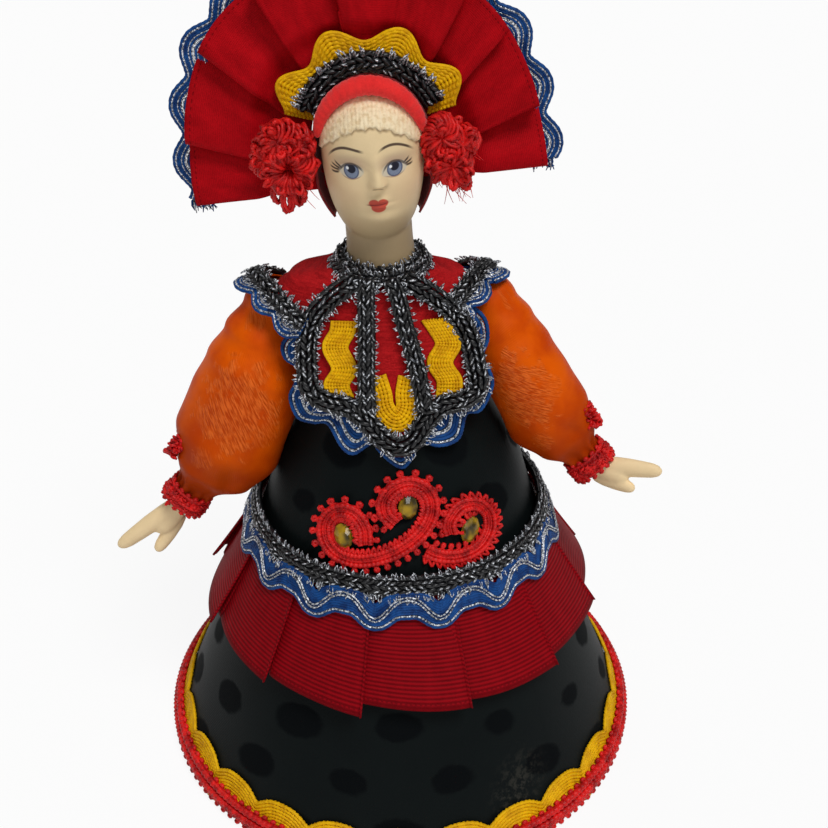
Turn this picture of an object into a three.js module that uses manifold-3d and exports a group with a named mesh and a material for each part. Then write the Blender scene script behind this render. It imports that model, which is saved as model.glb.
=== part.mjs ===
// Folk costume doll: a card cone body in satin, a bisque head under a pleated ribbon fan, and two wired arms.
// Millimetres, +Z up. The origin is the middle of the base disc on the floor, and the doll faces -Y.
import * as THREE from 'three';
import { mergeVertices } from 'three/addons/utils/BufferGeometryUtils.js';
import Module from 'manifold-3d';

const wasm = await Module();
wasm.setup();

// Fits and materials by thickness
const clearance = 0.3;
const clothThickness = 0.6;
const cardThickness = 1.2;
const ricracThickness = 0.6;
const braidThickness = 2;
const braidWidth = 4.4;
const wireRadius = 0.8;

// Skirt cone
const footRadius = 62.2;
const waistRadius = 34;
const waistHeight = 72;
const satinRise = 36;
const cardRise = 23;
const satinTop = waistHeight + satinRise;
const cardTop = waistHeight + cardRise;
const discThickness = 1.6;
const ringSteps = 40;

// Hem trims
const hemRicracTop = 10.5;
const hemRicracWave = 1.6;
const hemScallops = 24;
const gimpWidth = 5;
const gimpThickness = 1.9;

// Peplum, pleated from wide ribbon
const peplumFoot = 42.5;
const peplumReach = 3.2;
const pleatDepth = 2.1;
const pleatCount = 12;
const pleatStart = -70;

// Waist trims
const waistRicracDrop = 7;
const waistRicracWave = 1.9;
const waistScallops = 16;
const waistBraidHeight = 5.2;
const waistBraidDepth = 4.2;
const waistTrimTop = waistHeight - 4.2;

// Belt scrolls and stones
const scrollWidth = 2.2;
const scrollThickness = 1.6;
const stoneWidth = 4.6;
const stoneHeight = 5.6;
const stoneThickness = 1.8;

// Shoulders
const shoulderRise = 59;
const shoulderHeight = waistHeight + shoulderRise;
const shoulderHalfWidth = 24.8;
const collarRise = 7;
const torsoTop = shoulderHeight + collarRise;
const neckLean = -5;
const leanFrom = cardTop;

// Bib, hung from the collar down to just above the belt scrolls
const bibHeight = 34.6;
const bibFoot = waistHeight + 30;
const bibTop = torsoTop - 1.4;
const bibStretch = (bibTop - bibFoot) / bibHeight;
const bibCentre = 1.3;
const bibCurve = 0.008;
const bibLobes = 11;
const bibLobeWave = 1;
const yellowWidth = 5;
const yellowPointWidth = 3.1;
const barWidth = 3.8;

// Head
const headSeat = torsoTop + 1;
const neckAcross = neckLean + 1.2;
const headTilt = 3.2;
const faceTurn = 1.2;
const headHalfWidth = 11.4;
const headHalfDepth = 12.6;
const headCentre = 29;
const craniumHeight = 13.6;
const jawHeight = 24;
const neckRadius = 7.2;
const neckHoleRadius = 5.2;
const dowelRadius = 2;
const dowelBack = -2.4;
const dowelDrop = 17;
const dowelDepth = 9;
const hairRelief = 0.7;
const capThickness = 1.2;
const capFit = 0.65;
const capFront = -2;

// Head-dress
const headbandHeight = 4.6;
const headbandDepth = 4.4;
const crownBraidWidth = 3.8;
const crownBraidDepth = 2.2;
const crownBraidPlane = -0.2;
const crownRicracPlane = crownBraidPlane + crownBraidDepth / 2 + clearance;
const crownRicracWidth = 6.4;
const crownWave = 1.9;
const crownLobePitch = 35;
const fanTilt = 4.2;
const fanAcross = -1.2;
const fanHalfWidth = 40;
const fanHeight = 50;
const fanFoot = 17.3;
const fanRoundness = 2.5;
const fanFront = 1.2;
const fanPleatDepth = 3.4;
const fanPanels = 9;
const fanBackingThickness = 0.9;
const fanRicracReach = 2.6;
const fanRicracWave = 1.3;
const fanRicracLobes = 10;

// Temple rosettes, each one wound length of gimp
const rosetteCord = 0.62;
const rosetteSteps = 10;
const rosetteSides = 5;
const rosettes = [
  { side: -1, name: 'rosette_left', x: -20.4, z: 26.5, ring: 5.4, loop: 2.6, stretch: 1.25, loops: 8 },
  { side: 1, name: 'rosette_right', x: 19, z: 28, ring: 4.7, loop: 2.2, stretch: 1.2, loops: 7 }
];

// Arms. Each pivot is where the armature wire bends inside the shoulder of the sleeve, and hang runs
// from there to the cuff
const shoulderBallRadius = 7.3;
const armholeRadius = 5.6;
const wireBendLength = 2.4;
const handLengths = { wrist: 5, palm: 9, fingers: 10, thumb: 8.4 };
const arms = [
  {
    name: 'left', side: -1, pivot: [-29.5, 1, shoulderHeight - 5], hang: [-23.7, -8.5, -50],
    fullness: 13.4, sag: 2.8,
    handDirection: [-0.8, -0.12, -0.6], thumbDirection: [-0.3, -0.12, -0.95]
  },
  {
    name: 'right', side: 1, pivot: [21.5, 1, shoulderHeight - 4.5], hang: [25.6, -8.5, -39.5],
    fullness: 10.4, sag: 1.8,
    handDirection: [0.9, -0.34, -0.05], thumbDirection: [0.35, -0.2, -0.92]
  }
];

const palette = {
  card: { color: 0x8a7350, roughness: 0.9 },
  blackSatin: { color: 0x0c1113, roughness: 0.5 },
  redRibbon: { color: 0x9c0a18, roughness: 0.7 },
  redCloth: { color: 0xa81820, roughness: 0.8 },
  redGimp: { color: 0xd02028, roughness: 0.6 },
  redFelt: { color: 0xc8141c, roughness: 0.9 },
  yellowCord: { color: 0xe8ae10, roughness: 0.6 },
  blueSilver: { color: 0x1c4f9c, roughness: 0.45, metalness: 0.2 },
  blackSilver: { color: 0x2a2a2e, roughness: 0.4, metalness: 0.3 },
  orangeSatin: { color: 0xe86a08, roughness: 0.4 },
  filling: { color: 0xe8e4da, roughness: 1 },
  bisque: { color: 0xd8c8a8, roughness: 0.55 },
  wood: { color: 0xb98d55, roughness: 0.8 },
  steel: { color: 0x9a9ca0, roughness: 0.35, metalness: 0.9 },
  oliveGlass: { color: 0x8a8412, roughness: 0.15 }
};

// Small helpers
const vector = (x, y, z) => new THREE.Vector3(x, y, z);
const range = (count) => Array.from({ length: count }, (_, index) => index);
const radians = (degrees) => degrees * Math.PI / 180;
const mix = (a, b, t) => a + (b - a) * t;
const bump = (distance, width) => Math.exp(-(distance * distance) / (2 * width * width));

// Value at x of a line through [x, value] pairs, with smooth steps between them
function along(pairs, x) {
  const last = pairs.length - 1;
  if (x <= pairs[0][0]) return pairs[0][1];
  if (x >= pairs[last][0]) return pairs[last][1];
  const next = pairs.findIndex((pair) => pair[0] > x);
  const [x0, y0] = pairs[next - 1];
  const [x1, y1] = pairs[next];
  const t = (x - x0) / (x1 - x0);
  return mix(y0, y1, t * t * (3 - 2 * t));
}

// A closed body from its points and triangles, its faces turned out and its doubled points merged
function closedBody(points, triangles) {
  let volume = 0;
  for (const [a, b, c] of triangles) {
    volume += points[a].dot(points[b].clone().cross(points[c]));
  }
  const order = volume < 0 ? [0, 2, 1] : [0, 1, 2];
  const geometry = new THREE.BufferGeometry();
  geometry.setAttribute('position', new THREE.Float32BufferAttribute(points.flatMap((p) => p.toArray()), 3));
  geometry.setIndex(triangles.flatMap((corners) => order.map((index) => corners[index])));
  return geometry;
}

// Skins a row of outlines that have the same number of points. A ring joins its last outline to its first
function loft(outlines, ring = false) {
  const size = outlines[0].length;
  const points = outlines.flat();
  const triangles = [];
  const rows = ring ? outlines.length : outlines.length - 1;
  for (let row = 0; row < rows; row += 1) {
    const next = (row + 1) % outlines.length;
    for (let column = 0; column < size; column += 1) {
      const beside = (column + 1) % size;
      const [a, b] = [row * size + column, row * size + beside];
      const [c, d] = [next * size + column, next * size + beside];
      triangles.push([a, b, d], [a, d, c]);
    }
  }
  if (!ring) {
    const ends = [[outlines[0], 0], [outlines[outlines.length - 1], points.length - size]];
    for (const [outline, start] of ends) {
      const centre = outline.reduce((sum, p) => sum.add(p), vector(0, 0, 0)).divideScalar(size);
      const middle = points.push(centre) - 1;
      for (let column = 0; column < size; column += 1) {
        const [a, b] = [start + column, start + (column + 1) % size];
        triangles.push(start === 0 ? [middle, b, a] : [middle, a, b]);
      }
    }
  }
  return closedBody(points, triangles);
}

// A curved sheet between two grids of points that match row by row and column by column
function sheetBody(outer, inner) {
  const [lastRow, lastColumn] = [outer.length - 1, outer[0].length - 1];
  const points = [...outer.flat(), ...inner.flat()];
  const front = (row, column) => row * (lastColumn + 1) + column;
  const back = (row, column) => front(row, column) + points.length / 2;
  const triangles = [];
  const quad = (a, b, c, d) => triangles.push([a, b, c], [a, c, d]);
  for (const row of range(lastRow)) {
    for (const column of range(lastColumn)) {
      const corners = [[row, column], [row, column + 1], [row + 1, column + 1], [row + 1, column]];
      quad(...corners.map((corner) => front(...corner)));
      quad(...corners.reverse().map((corner) => back(...corner)));
    }
    quad(front(row, 0), front(row + 1, 0), back(row + 1, 0), back(row, 0));
    const [here, next] = [[row, lastColumn], [row + 1, lastColumn]];
    quad(front(...here), back(...here), back(...next), front(...next));
  }
  for (const column of range(lastColumn)) {
    quad(front(0, column), back(0, column), back(0, column + 1), front(0, column + 1));
    const [here, next] = [[lastRow, column], [lastRow, column + 1]];
    quad(front(...here), front(...next), back(...next), back(...here));
  }
  return closedBody(points, triangles);
}

// Booleans
function toSolid(geometry) {
  const bare = new THREE.BufferGeometry();
  bare.setAttribute('position', geometry.attributes.position.clone());
  if (geometry.index) bare.setIndex(geometry.index.clone());
  const merged = mergeVertices(bare, 1e-4);
  return new wasm.Manifold(new wasm.Mesh({
    numProp: 3,
    vertProperties: new Float32Array(merged.attributes.position.array),
    triVerts: new Uint32Array(merged.index.array)
  }));
}

function toGeometry(solid) {
  const mesh = solid.getMesh();
  const geometry = new THREE.BufferGeometry();
  geometry.setAttribute('position', new THREE.BufferAttribute(new Float32Array(mesh.vertProperties), 3));
  geometry.setIndex(new THREE.BufferAttribute(new Uint32Array(mesh.triVerts), 1));
  return geometry;
}

function cut(geometry, ...tools) {
  return toGeometry(tools.reduce((solid, tool) => solid.subtract(toSolid(tool)), toSolid(geometry)));
}

// A straight round bar between two points
function bar(from, to, radius, sides = 8) {
  const direction = to.clone().sub(from);
  const geometry = new THREE.CylinderGeometry(radius, radius, direction.length(), sides);
  const turn = new THREE.Quaternion().setFromUnitVectors(vector(0, 1, 0), direction.clone().normalize());
  geometry.applyQuaternion(turn);
  const middle = from.clone().add(to).divideScalar(2);
  return geometry.translate(middle.x, middle.y, middle.z);
}

// A round tube along a curve
function tube(curve, radius, sides, steps) {
  const section = range(sides).map((index) => {
    const angle = 2 * Math.PI * index / sides;
    return new THREE.Vector2(radius * Math.cos(angle), radius * Math.sin(angle));
  });
  const shape = new THREE.Shape(section);
  return new THREE.ExtrudeGeometry(shape, { steps, extrudePath: curve, bevelEnabled: false });
}

// A round outline square to a direction
function circle(centre, direction, radius, sides, flatten = 1) {
  const axis = direction.clone().normalize();
  const across = vector(0, 1, 0).addScaledVector(axis, -axis.y).normalize();
  const up = axis.clone().cross(across);
  return range(sides).map((index) => {
    const angle = 2 * Math.PI * index / sides;
    return centre.clone()
      .addScaledVector(across, radius * flatten * Math.cos(angle))
      .addScaledVector(up, radius * Math.sin(angle));
  });
}

// Skirt surface: how far the satin stands from the axis, and a point over it. Angle 0 is the front
const coneTaper = (footRadius - waistRadius) / waistHeight;
const skirtRadius = (height) => footRadius - coneTaper * height;
const underSatin = clothThickness + clearance;

function round(angle, radius, height) {
  return vector(radius * Math.sin(angle), -radius * Math.cos(angle), height);
}

function overSkirt(x, height, offset) {
  const radius = skirtRadius(height) + offset;
  return round(Math.asin(x / radius), radius, height);
}

// The upper body leans to its right, the more the higher
function lean(height) {
  return height <= leanFrom ? 0 : neckLean * (height - leanFrom) / (torsoTop - leanFrom);
}

// A ring whose cross-section, a list of [radius, height], depends on the angle
function skirtRing(steps, section) {
  const outlines = steps.map((angle) => section(angle).map(([radius, height]) =>
    round(angle, radius, height).add(vector(lean(height), 0, 0))));
  return loft(outlines, true);
}

const evenAngles = (count) => range(count).map((index) => 2 * Math.PI * index / count);

function ringOutline(steps, radius, height) {
  return evenAngles(steps).map((angle) => round(angle, radius, height).add(vector(lean(height), 0, 0)));
}

function revolve(section) {
  return skirtRing(evenAngles(ringSteps), () => section);
}

// Half-width of the torso at a height; its half-depth goes on up the line of the cone
const torsoWidths = [
  [satinTop, skirtRadius(satinTop)],
  [satinTop + 5, skirtRadius(satinTop) - 2.6],
  [shoulderHeight - 12, 16.2],
  [shoulderHeight - 6, 18.5],
  [shoulderHeight, shoulderHalfWidth],
  [torsoTop - 3, shoulderHalfWidth - 4],
  [torsoTop - 1, shoulderHalfWidth - 11],
  [torsoTop, neckRadius + 2]
];
const torsoSteps = 20;
const torsoRows = [
  satinTop + clearance, satinTop + 5, shoulderHeight - 12, shoulderHeight - 6, shoulderHeight - 2.5,
  shoulderHeight, torsoTop - 3, torsoTop - 1, torsoTop
];

// Outline of the torso at a height. An inset one also sinks under the slope of the shoulders
function torsoOutline(height, inset) {
  const halfWidth = along(torsoWidths, height) - inset;
  const halfDepth = skirtRadius(height) - inset;
  const squareness = Math.min(1, Math.max(0, (height - satinTop) / (shoulderHeight - satinTop)));
  const power = mix(2, 2.4, squareness);
  const sink = inset * Math.min(1, Math.max(0, (height - shoulderHeight) / 4));
  return evenAngles(torsoSteps).map((angle) => {
    const [s, c] = [Math.sin(angle), Math.cos(angle)];
    return vector(
      lean(height) + halfWidth * Math.sign(s) * Math.abs(s) ** (2 / power),
      -halfDepth * Math.sign(c) * Math.abs(c) ** (2 / power),
      height - sink
    );
  });
}

// Bib surface: x is measured from the middle of the bib and rise from its point, offset is how far the
// layer stands off the chest
function onBib(x, rise, offset) {
  const across = x + bibCentre;
  const height = bibFoot + rise * bibStretch;
  return vector(across + lean(height), -skirtRadius(height) - offset + bibCurve * across * across, height);
}

// The layers of the bib, from the chest out
const bibLayers = {};
bibLayers.ricrac = clearance * 2;
bibLayers.panel = bibLayers.ricrac + ricracThickness + clearance;
bibLayers.yellow = bibLayers.panel + clothThickness + clearance;
bibLayers.braid = bibLayers.yellow + ricracThickness + clearance;

// A curve through [x, z] pairs, as evenly spaced places with a sideways direction
function planeCurve(pairs, steps) {
  const curve = new THREE.CatmullRomCurve3(pairs.map(([x, z]) => vector(x, 0, z)), false, 'centripetal');
  return range(steps + 1).map((index) => {
    const place = curve.getPointAt(index / steps);
    const ahead = curve.getTangentAt(index / steps);
    return { x: place.x, z: place.z, sideX: -ahead.z, sideZ: ahead.x, share: index / steps };
  });
}

// A band laid on a surface along a plane curve, from an inner to an outer edge, with rounded shoulders
function layBand(places, surface, inner, outer, lift, thickness, rounded = false) {
  const shoulder = rounded ? 0.28 : 0;
  return loft(places.map((place) => {
    const [from, to] = [inner(place.share), outer(place.share)];
    const corner = (share, height) => {
      const reach = mix(from, to, share);
      return surface(place.x + place.sideX * reach, place.z + place.sideZ * reach, lift + height * thickness);
    };
    if (!rounded) return [corner(0, 0), corner(1, 0), corner(1, 1), corner(0, 1)];
    return [
      corner(shoulder, 0), corner(1 - shoulder, 0), corner(1, 0.5),
      corner(1 - shoulder, 1), corner(shoulder, 1), corner(0, 0.5)
    ];
  }));
}

const evenBand = (places, surface, width, lift, thickness, rounded) =>
  layBand(places, surface, () => -width / 2, () => width / 2, lift, thickness, rounded);

// Group and node making
const doll = new THREE.Group();

function add(parent, name, geometry, finish) {
  const bare = new THREE.BufferGeometry();
  bare.setAttribute('position', geometry.attributes.position.clone());
  if (geometry.index) bare.setIndex(geometry.index.clone());
  const mesh = new THREE.Mesh(mergeVertices(bare, 1e-4), new THREE.MeshStandardMaterial(palette[finish]));
  mesh.name = name;
  parent.add(mesh);
  return mesh;
}

// Base, card cone and satin
function makeSkirt() {
  const discRadius = skirtRadius(discThickness) - underSatin;
  const disc = [0, discThickness].map((height) => ringOutline(ringSteps, discRadius, height));
  add(doll, 'base_disc', loft(disc), 'card');

  const coneFoot = discThickness + clearance;
  const cardRadius = (height) => skirtRadius(height) - underSatin;
  const card = [coneFoot, cardTop].map((height) => [cardRadius(height), height]);
  const inside = [cardTop, coneFoot].map((height) => [cardRadius(height) - cardThickness, height]);
  add(doll, 'body_cone', revolve([...card, ...inside]), 'card');

  const satinFoot = clearance;
  const outside = [satinFoot, leanFrom, satinTop].map((height) => [skirtRadius(height), height]);
  const lining = outside.map(([radius, height]) => [radius - clothThickness, height]).reverse();
  add(doll, 'skirt_fabric', revolve([...outside, ...lining]), 'blackSatin');
}

// A flat trim round the skirt, its wavy edge above or below
function scallopedRing(scallops, foot, top, lift) {
  const stepsPerScallop = 4;
  return skirtRing(evenAngles(scallops * stepsPerScallop), (angle) => {
    const [low, high] = [foot(scallops * angle), top(scallops * angle)];
    return [
      [skirtRadius(low) + lift, low],
      [skirtRadius(low) + lift + ricracThickness, low],
      [skirtRadius(high) + lift + ricracThickness, high],
      [skirtRadius(high) + lift, high]
    ];
  });
}

function makeHem() {
  const foot = 1;
  const top = (phase) => hemRicracTop - hemRicracWave * (1 - Math.cos(phase));
  add(doll, 'hem_ricrac', scallopedRing(hemScallops, () => foot, top, clearance), 'yellowCord');

  // Picot gimp: a half-round braid with a small bead at every other step
  const beads = 56;
  const base = skirtRadius(0) + clearance + ricracThickness + clearance;
  const angles = evenAngles(beads);
  const gimp = skirtRing(angles, (angle) => {
    const bead = 0.3 * Math.cos(angle * beads / 2);
    return [
      [base, 0.6], [base + gimpThickness - 0.6, 0.8], [base + gimpThickness + bead - 0.3, 2.4],
      [base + 0.6, gimpWidth], [base, gimpWidth]
    ];
  });
  add(doll, 'hem_braid', gimp, 'redGimp');
}

// Knife pleats: each panel stands further off towards its folded edge, then drops under the next
function makePeplum() {
  const pitch = 360 / pleatCount;
  const shares = [0.03, 0.35, 0.7, 0.97, 1];
  const angles = [];
  const rises = [];
  for (const pleat of range(pleatCount)) {
    for (const share of shares) {
      angles.push(radians(pleatStart + (pleat + share) * pitch));
      rises.push(share === 1 ? 0 : share);
    }
  }
  const outlines = angles.map((angle, index) => {
    const section = [];
    const heights = [waistTrimTop, mix(waistTrimTop, peplumFoot, 0.45), peplumFoot];
    for (const height of heights) {
      const fall = (waistTrimTop - height) / (waistTrimTop - peplumFoot);
      const flare = peplumReach * fall ** 1.4 + rises[index] * pleatDepth * (0.25 + 0.75 * fall);
      section.push([skirtRadius(height) + clearance + clothThickness + flare, height]);
    }
    for (const height of [peplumFoot, waistTrimTop]) {
      const fall = (waistTrimTop - height) / (waistTrimTop - peplumFoot);
      section.push([skirtRadius(height) + clearance + peplumReach * 0.85 * fall, height]);
    }
    return section.map(([radius, height]) => round(angle, radius, height));
  });
  add(doll, 'peplum_ribbon', loft(outlines, true), 'redRibbon');
}

// How far the waist ric-rac stands off the satin, to lie over the pleats at the head of the peplum
const waistLift = clearance + clothThickness + pleatDepth * 0.5 + peplumReach * 0.12 + clearance;

function makeWaist() {
  const top = waistTrimTop;
  const foot = (phase) => top - waistRicracDrop + waistRicracWave * (1 - Math.cos(phase));
  add(doll, 'waist_ricrac', scallopedRing(waistScallops, foot, () => top, waistLift), 'blueSilver');

  // Plaited braid laid above the ric-rac: its outside swells and narrows with the plait
  const plaits = 52;
  const low = top + clearance;
  const braid = skirtRing(evenAngles(plaits), (angle) => {
    const swell = 0.2 * Math.cos(angle * plaits / 2);
    const middle = low + waistBraidHeight / 2;
    const high = low + waistBraidHeight;
    return [
      [skirtRadius(low) + clearance + clothThickness, low],
      [skirtRadius(low) + clearance + waistBraidDepth - 0.5, low],
      [skirtRadius(middle) + clearance + waistBraidDepth + swell, middle],
      [skirtRadius(high) + clearance + waistBraidDepth - 1.4, high],
      [skirtRadius(high) + clearance, high]
    ];
  });
  add(doll, 'waist_braid', braid, 'blackSilver');
}

// Two lengths of gimp curled into three loops, with a stone in each
function makeBelt() {
  // Heights on the belt are above the waist
  const onBelt = (x, height, offset) => overSkirt(x, waistHeight + height, offset);
  const lengths = {
    belt_scroll_long: [
      [-7.6, 6.7], [-8, 10.5], [-10.6, 13.3], [-14.2, 13.1], [-17.2, 9.9], [-17.6, 6.1], [-15.4, 3.5],
      [-11, 2.7], [-5.6, 3.7], [0.4, 6.1], [5.4, 9.5], [8, 13.6], [7.8, 17.4], [5.6, 20.2], [2.4, 21.2],
      [-1, 20], [-3.2, 17.2], [-3, 14.2], [-0.6, 12]
    ],
    belt_scroll_short: [
      [6.6, 5.7], [9.8, 3.9], [14.6, 2.7], [19.4, 3.1], [22, 5.7], [21.6, 9.5], [18.6, 12.9],
      [14.8, 13.5], [12.2, 10.9], [12.6, 8.1]
    ]
  };
  for (const [name, pairs] of Object.entries(lengths)) {
    const places = planeCurve(pairs, Math.round(pairs.length * 2.4));
    const laid = evenBand(places, onBelt, scrollWidth, clearance, scrollThickness, true);
    add(doll, name, laid, 'redGimp');
  }
  const stones = { stone_left: [-12.9, 8.1], stone_middle: [2.4, 16.2], stone_right: [17.2, 8.1] };
  for (const [name, [x, height]] of Object.entries(stones)) {
    const table = 0.55;
    const facets = 10;
    const ring = (size, lift) => range(facets).map((index) => {
      const angle = 2 * Math.PI * index / facets;
      const across = size * stoneWidth / 2 * Math.cos(angle);
      const up = size * stoneHeight / 2 * Math.sin(angle);
      return onBelt(x + across, height + up, clearance + lift);
    });
    const gem = loft([ring(0.9, 0), ring(1, stoneThickness * 0.45), ring(table, stoneThickness)]);
    add(doll, name, gem, 'oliveGlass');
  }
}

// Everything on the head is placed in the head's own frame: its foot on the body, +Z up its neck
const headGroup = new THREE.Group();
headGroup.position.set(neckAcross, 0, headSeat);
headGroup.rotation.y = radians(-headTilt);
doll.add(headGroup);
doll.updateMatrixWorld(true);
const headPoint = (x, y, z) => vector(x, y, z).applyMatrix4(headGroup.matrixWorld);

// Stuffed bust, red yoke over it, and what runs through them
const underYoke = clothThickness + clearance;
const torsoSolid = (inset) => loft(torsoRows.map((height) => torsoOutline(height, inset)));

// The torso is hollowed where the ball of each sleeve sits in its armhole
function armSockets() {
  return arms.map((arm) => {
    const ball = new THREE.SphereGeometry(shoulderBallRadius + clearance, 16, 10);
    return ball.rotateX(Math.PI / 2).translate(...arm.pivot);
  });
}

function makeTorso() {
  const [neckLow, neckHigh] = [torsoTop - 4, torsoTop + 2].map((height) => vector(neckAcross, 0, height));
  const neckHole = bar(neckLow, neckHigh, neckHoleRadius, 16);
  const hollow = torsoRows.map((height) => torsoOutline(height, clothThickness));
  const openFoot = hollow[0].map((p) => p.clone().setZ(p.z - 1));
  const endGap = wireBendLength / 2 + clearance;
  const [left, right] = arms.map((arm) => vector(...arm.pivot).add(vector(-arm.side * endGap, 0, 0)));
  const outside = vector(9, 0, 0);
  const wireBore = bar(left.clone().sub(outside), right.clone().add(outside), wireRadius + clearance);
  const yoke = cut(torsoSolid(0), loft([openFoot, ...hollow]), neckHole, wireBore, ...armSockets());
  add(doll, 'yoke_fabric', yoke, 'redCloth');

  const lowerRows = [cardTop + clearance, satinTop - 1, satinTop + clearance];
  const lower = lowerRows.map((height) => ringOutline(torsoSteps, skirtRadius(height) - underSatin, height));
  const [dowelEnd, dowelExit] = [headPoint(0, dowelBack, -dowelDrop - clearance), headPoint(0, dowelBack, 5)];
  const bust = cut(
    loft([...lower, ...torsoRows.slice(1).map((height) => torsoOutline(height, underYoke))]),
    wireBore,
    bar(dowelEnd, dowelExit, dowelRadius + clearance, 12),
    ...armSockets()
  );
  add(doll, 'bust_form', bust, 'filling');
  add(doll, 'shoulder_wire', bar(left, right, wireRadius), 'steel');
}

// Bib: half of its outline from the collar down to the point, mirrored to the other side
const bibOutline = [
  [7.4, 34.6], [12, 32], [16.4, 27.5], [18.4, 22.5], [19.3, 16.5], [19.2, 11.4], [15.8, 9.2],
  [10.6, 8.4], [6.6, 6], [3.2, 2.4], [0, 0]
];
// How far the lobes of ric-rac reach past the outline, from the point of the bib up to the collar
const bibLobeReach = [[0, 2.6], [0.1, 3.4], [0.22, 7], [0.36, 5.6], [0.7, 4.4], [1, 2.4]];
const bibPath = [...bibOutline.map(([x, z]) => [-x, z]), ...bibOutline.slice(0, -1).reverse()];

function makeBib() {
  const places = planeCurve(bibPath, 42);
  const lobes = (share) => -along(bibLobeReach, 2 * Math.abs(share - 0.5))
    - bibLobeWave * Math.cos(2 * Math.PI * bibLobes * (share - 0.5));
  const ricrac = layBand(planeCurve(bibPath, 55), onBib, lobes, () => 0.8, bibLayers.ricrac, ricracThickness);
  add(doll, 'bib_ricrac', ricrac, 'blueSilver');

  // The panel is skinned across from row to row between the two sides of the outline
  const rows = [bibHeight, 32, 28, 23, 17, 12, 9.4, 6.4, 3.6, 1.4];
  const widths = bibOutline.map(([x, z]) => [z, x - 0.6]).reverse();
  const layer = (offset) => rows.map((height) => range(7).map((index) => {
    const half = along(widths, height);
    return onBib(mix(-half, half, index / 6), height, offset);
  }));
  const panel = sheetBody(layer(bibLayers.panel + clothThickness), layer(bibLayers.panel));
  add(doll, 'bib_panel', panel, 'redCloth');

  const frame = evenBand(places, onBib, braidWidth, bibLayers.braid, braidThickness, true);
  add(doll, 'bib_frame_braid', frame, 'blackSilver');

  const bars = {
    bib_bar_left: [[-3.6, 32.6], [-4.4, 26], [-5.3, 19], [-6, 13.6], [-6.4, 10.4]],
    bib_bar_right: [[3.6, 32.6], [4.4, 26], [5.7, 19], [6.4, 13.6], [6.6, 10.4]]
  };
  for (const [name, pairs] of Object.entries(bars)) {
    const laid = evenBand(planeCurve(pairs, 8), onBib, barWidth, bibLayers.braid, braidThickness, true);
    add(doll, name, laid, 'blackSilver');
  }

  const yellows = {
    bib_yellow_left: [[-9.8, 31], [-9.4, 27], [-12, 22.6], [-10.6, 18.4], [-12.8, 14.8], [-12.2, 11.6]],
    bib_yellow_middle: [
      [-3.6, 15.2], [-2.6, 11], [-2.1, 7.4], [0, 5.6], [2.1, 7.4], [2.8, 11], [4, 15.2]
    ],
    bib_yellow_right: [[10.2, 31], [12.2, 26.4], [13.6, 23], [11.2, 19.6], [12.8, 15.6], [12.4, 11.6]]
  };
  for (const [name, pairs] of Object.entries(yellows)) {
    // The two that wave from side to side are shifted level copies of one line, as ric-rac is woven
    const bend = planeCurve(pairs, 16);
    const wave = bend.map((place) => ({ ...place, sideX: 1, sideZ: 0 }));
    const [places, width] = name.endsWith('middle') ? [bend, yellowPointWidth] : [wave, yellowWidth];
    const laid = evenBand(places, onBib, width, bibLayers.yellow, ricracThickness);
    add(doll, name, laid, 'yellowCord');
  }
}

// A braid or ric-rac laid along a free curve, flat against the outward directions given with its points
function drape(route, steps, inner, outer, lift, thickness) {
  const curve = new THREE.CatmullRomCurve3(route.map(([place]) => vector(...place)), false, 'centripetal');
  const facing = new THREE.CatmullRomCurve3(route.map(([, out]) => vector(...out)), false, 'centripetal');
  return loft(range(steps + 1).map((index) => {
    const share = index / steps;
    const place = curve.getPoint(share);
    const ahead = curve.getTangent(share);
    const side = facing.getPoint(share).cross(ahead).normalize();
    const out = ahead.clone().cross(side).normalize();
    const corner = (reach, rise) => place.clone().addScaledVector(side, reach).addScaledVector(out, rise);
    const [from, to] = [inner(share), outer(share)];
    const top = lift + thickness;
    return [corner(from, lift), corner(to, lift), corner(to, top), corner(from, top)];
  }));
}

// Shoulder straps run from the bib over the shoulder to the back
function makeStraps() {
  for (const { name, side, pivot } of arms) {
    // The strap passes over the ball of the sleeve; each point is given by its drop from there
    const top = pivot[2] + shoulderBallRadius + 2 * clearance;
    const route = [
      [[20.2, -11, 3.4], [0.35, -1, 0.5]],
      [[22, -8.4, 1.6], [0.3, -0.8, 0.9]],
      [[23.6, -4.4, 0], [0.25, -0.2, 1]],
      [[24, 2.6, 0], [0.25, 0.5, 1]],
      [[21, 8, 2.6], [0.3, 1, 0.5]],
      [[15.6, 10, 7.4], [0.3, 1, 0.3]]
    ].map(([[x, y, drop], [ox, oy, oz]]) =>
      [[side * x + lean(top - drop), y, top - drop], [side * ox, oy, oz]]);
    const half = braidWidth / 2 - 0.4;
    const lift = ricracThickness + clearance;
    const braid = drape(route, 12, () => -half, () => half, lift, braidThickness * 0.8);
    add(doll, `strap_braid_${name}`, braid, 'blackSilver');
    const wave = (share) => half + 1.2 - 0.9 * Math.cos(2 * Math.PI * 4 * share);
    const ricrac = drape(
      route, 20,
      (share) => (side > 0 ? -wave(share) : -half + 1),
      (share) => (side > 0 ? half - 1 : wave(share)),
      0, ricracThickness
    );
    add(doll, `strap_ricrac_${name}`, ricrac, 'blueSilver');
  }
}

function makeCollar() {
  const steps = 26;
  const inner = neckRadius + 0.7;
  const outer = neckRadius + 4.6;
  const outlines = evenAngles(steps).map((angle) => {
    const swell = 0.25 * Math.cos(angle * steps / 2);
    const section = [
      [inner, torsoTop + 0.8], [mix(inner, outer, 0.6), torsoTop + 0.5], [outer, torsoTop],
      [outer + swell, torsoTop + 1.4], [mix(inner, outer, 0.5), torsoTop + 2.4 + swell],
      [inner, torsoTop + 2.6]
    ];
    return section.map(([radius, height]) => round(angle, radius, height).add(vector(neckAcross, 0, 0)));
  });
  add(doll, 'collar_braid', loft(outlines, true), 'blackSilver');
}

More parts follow.
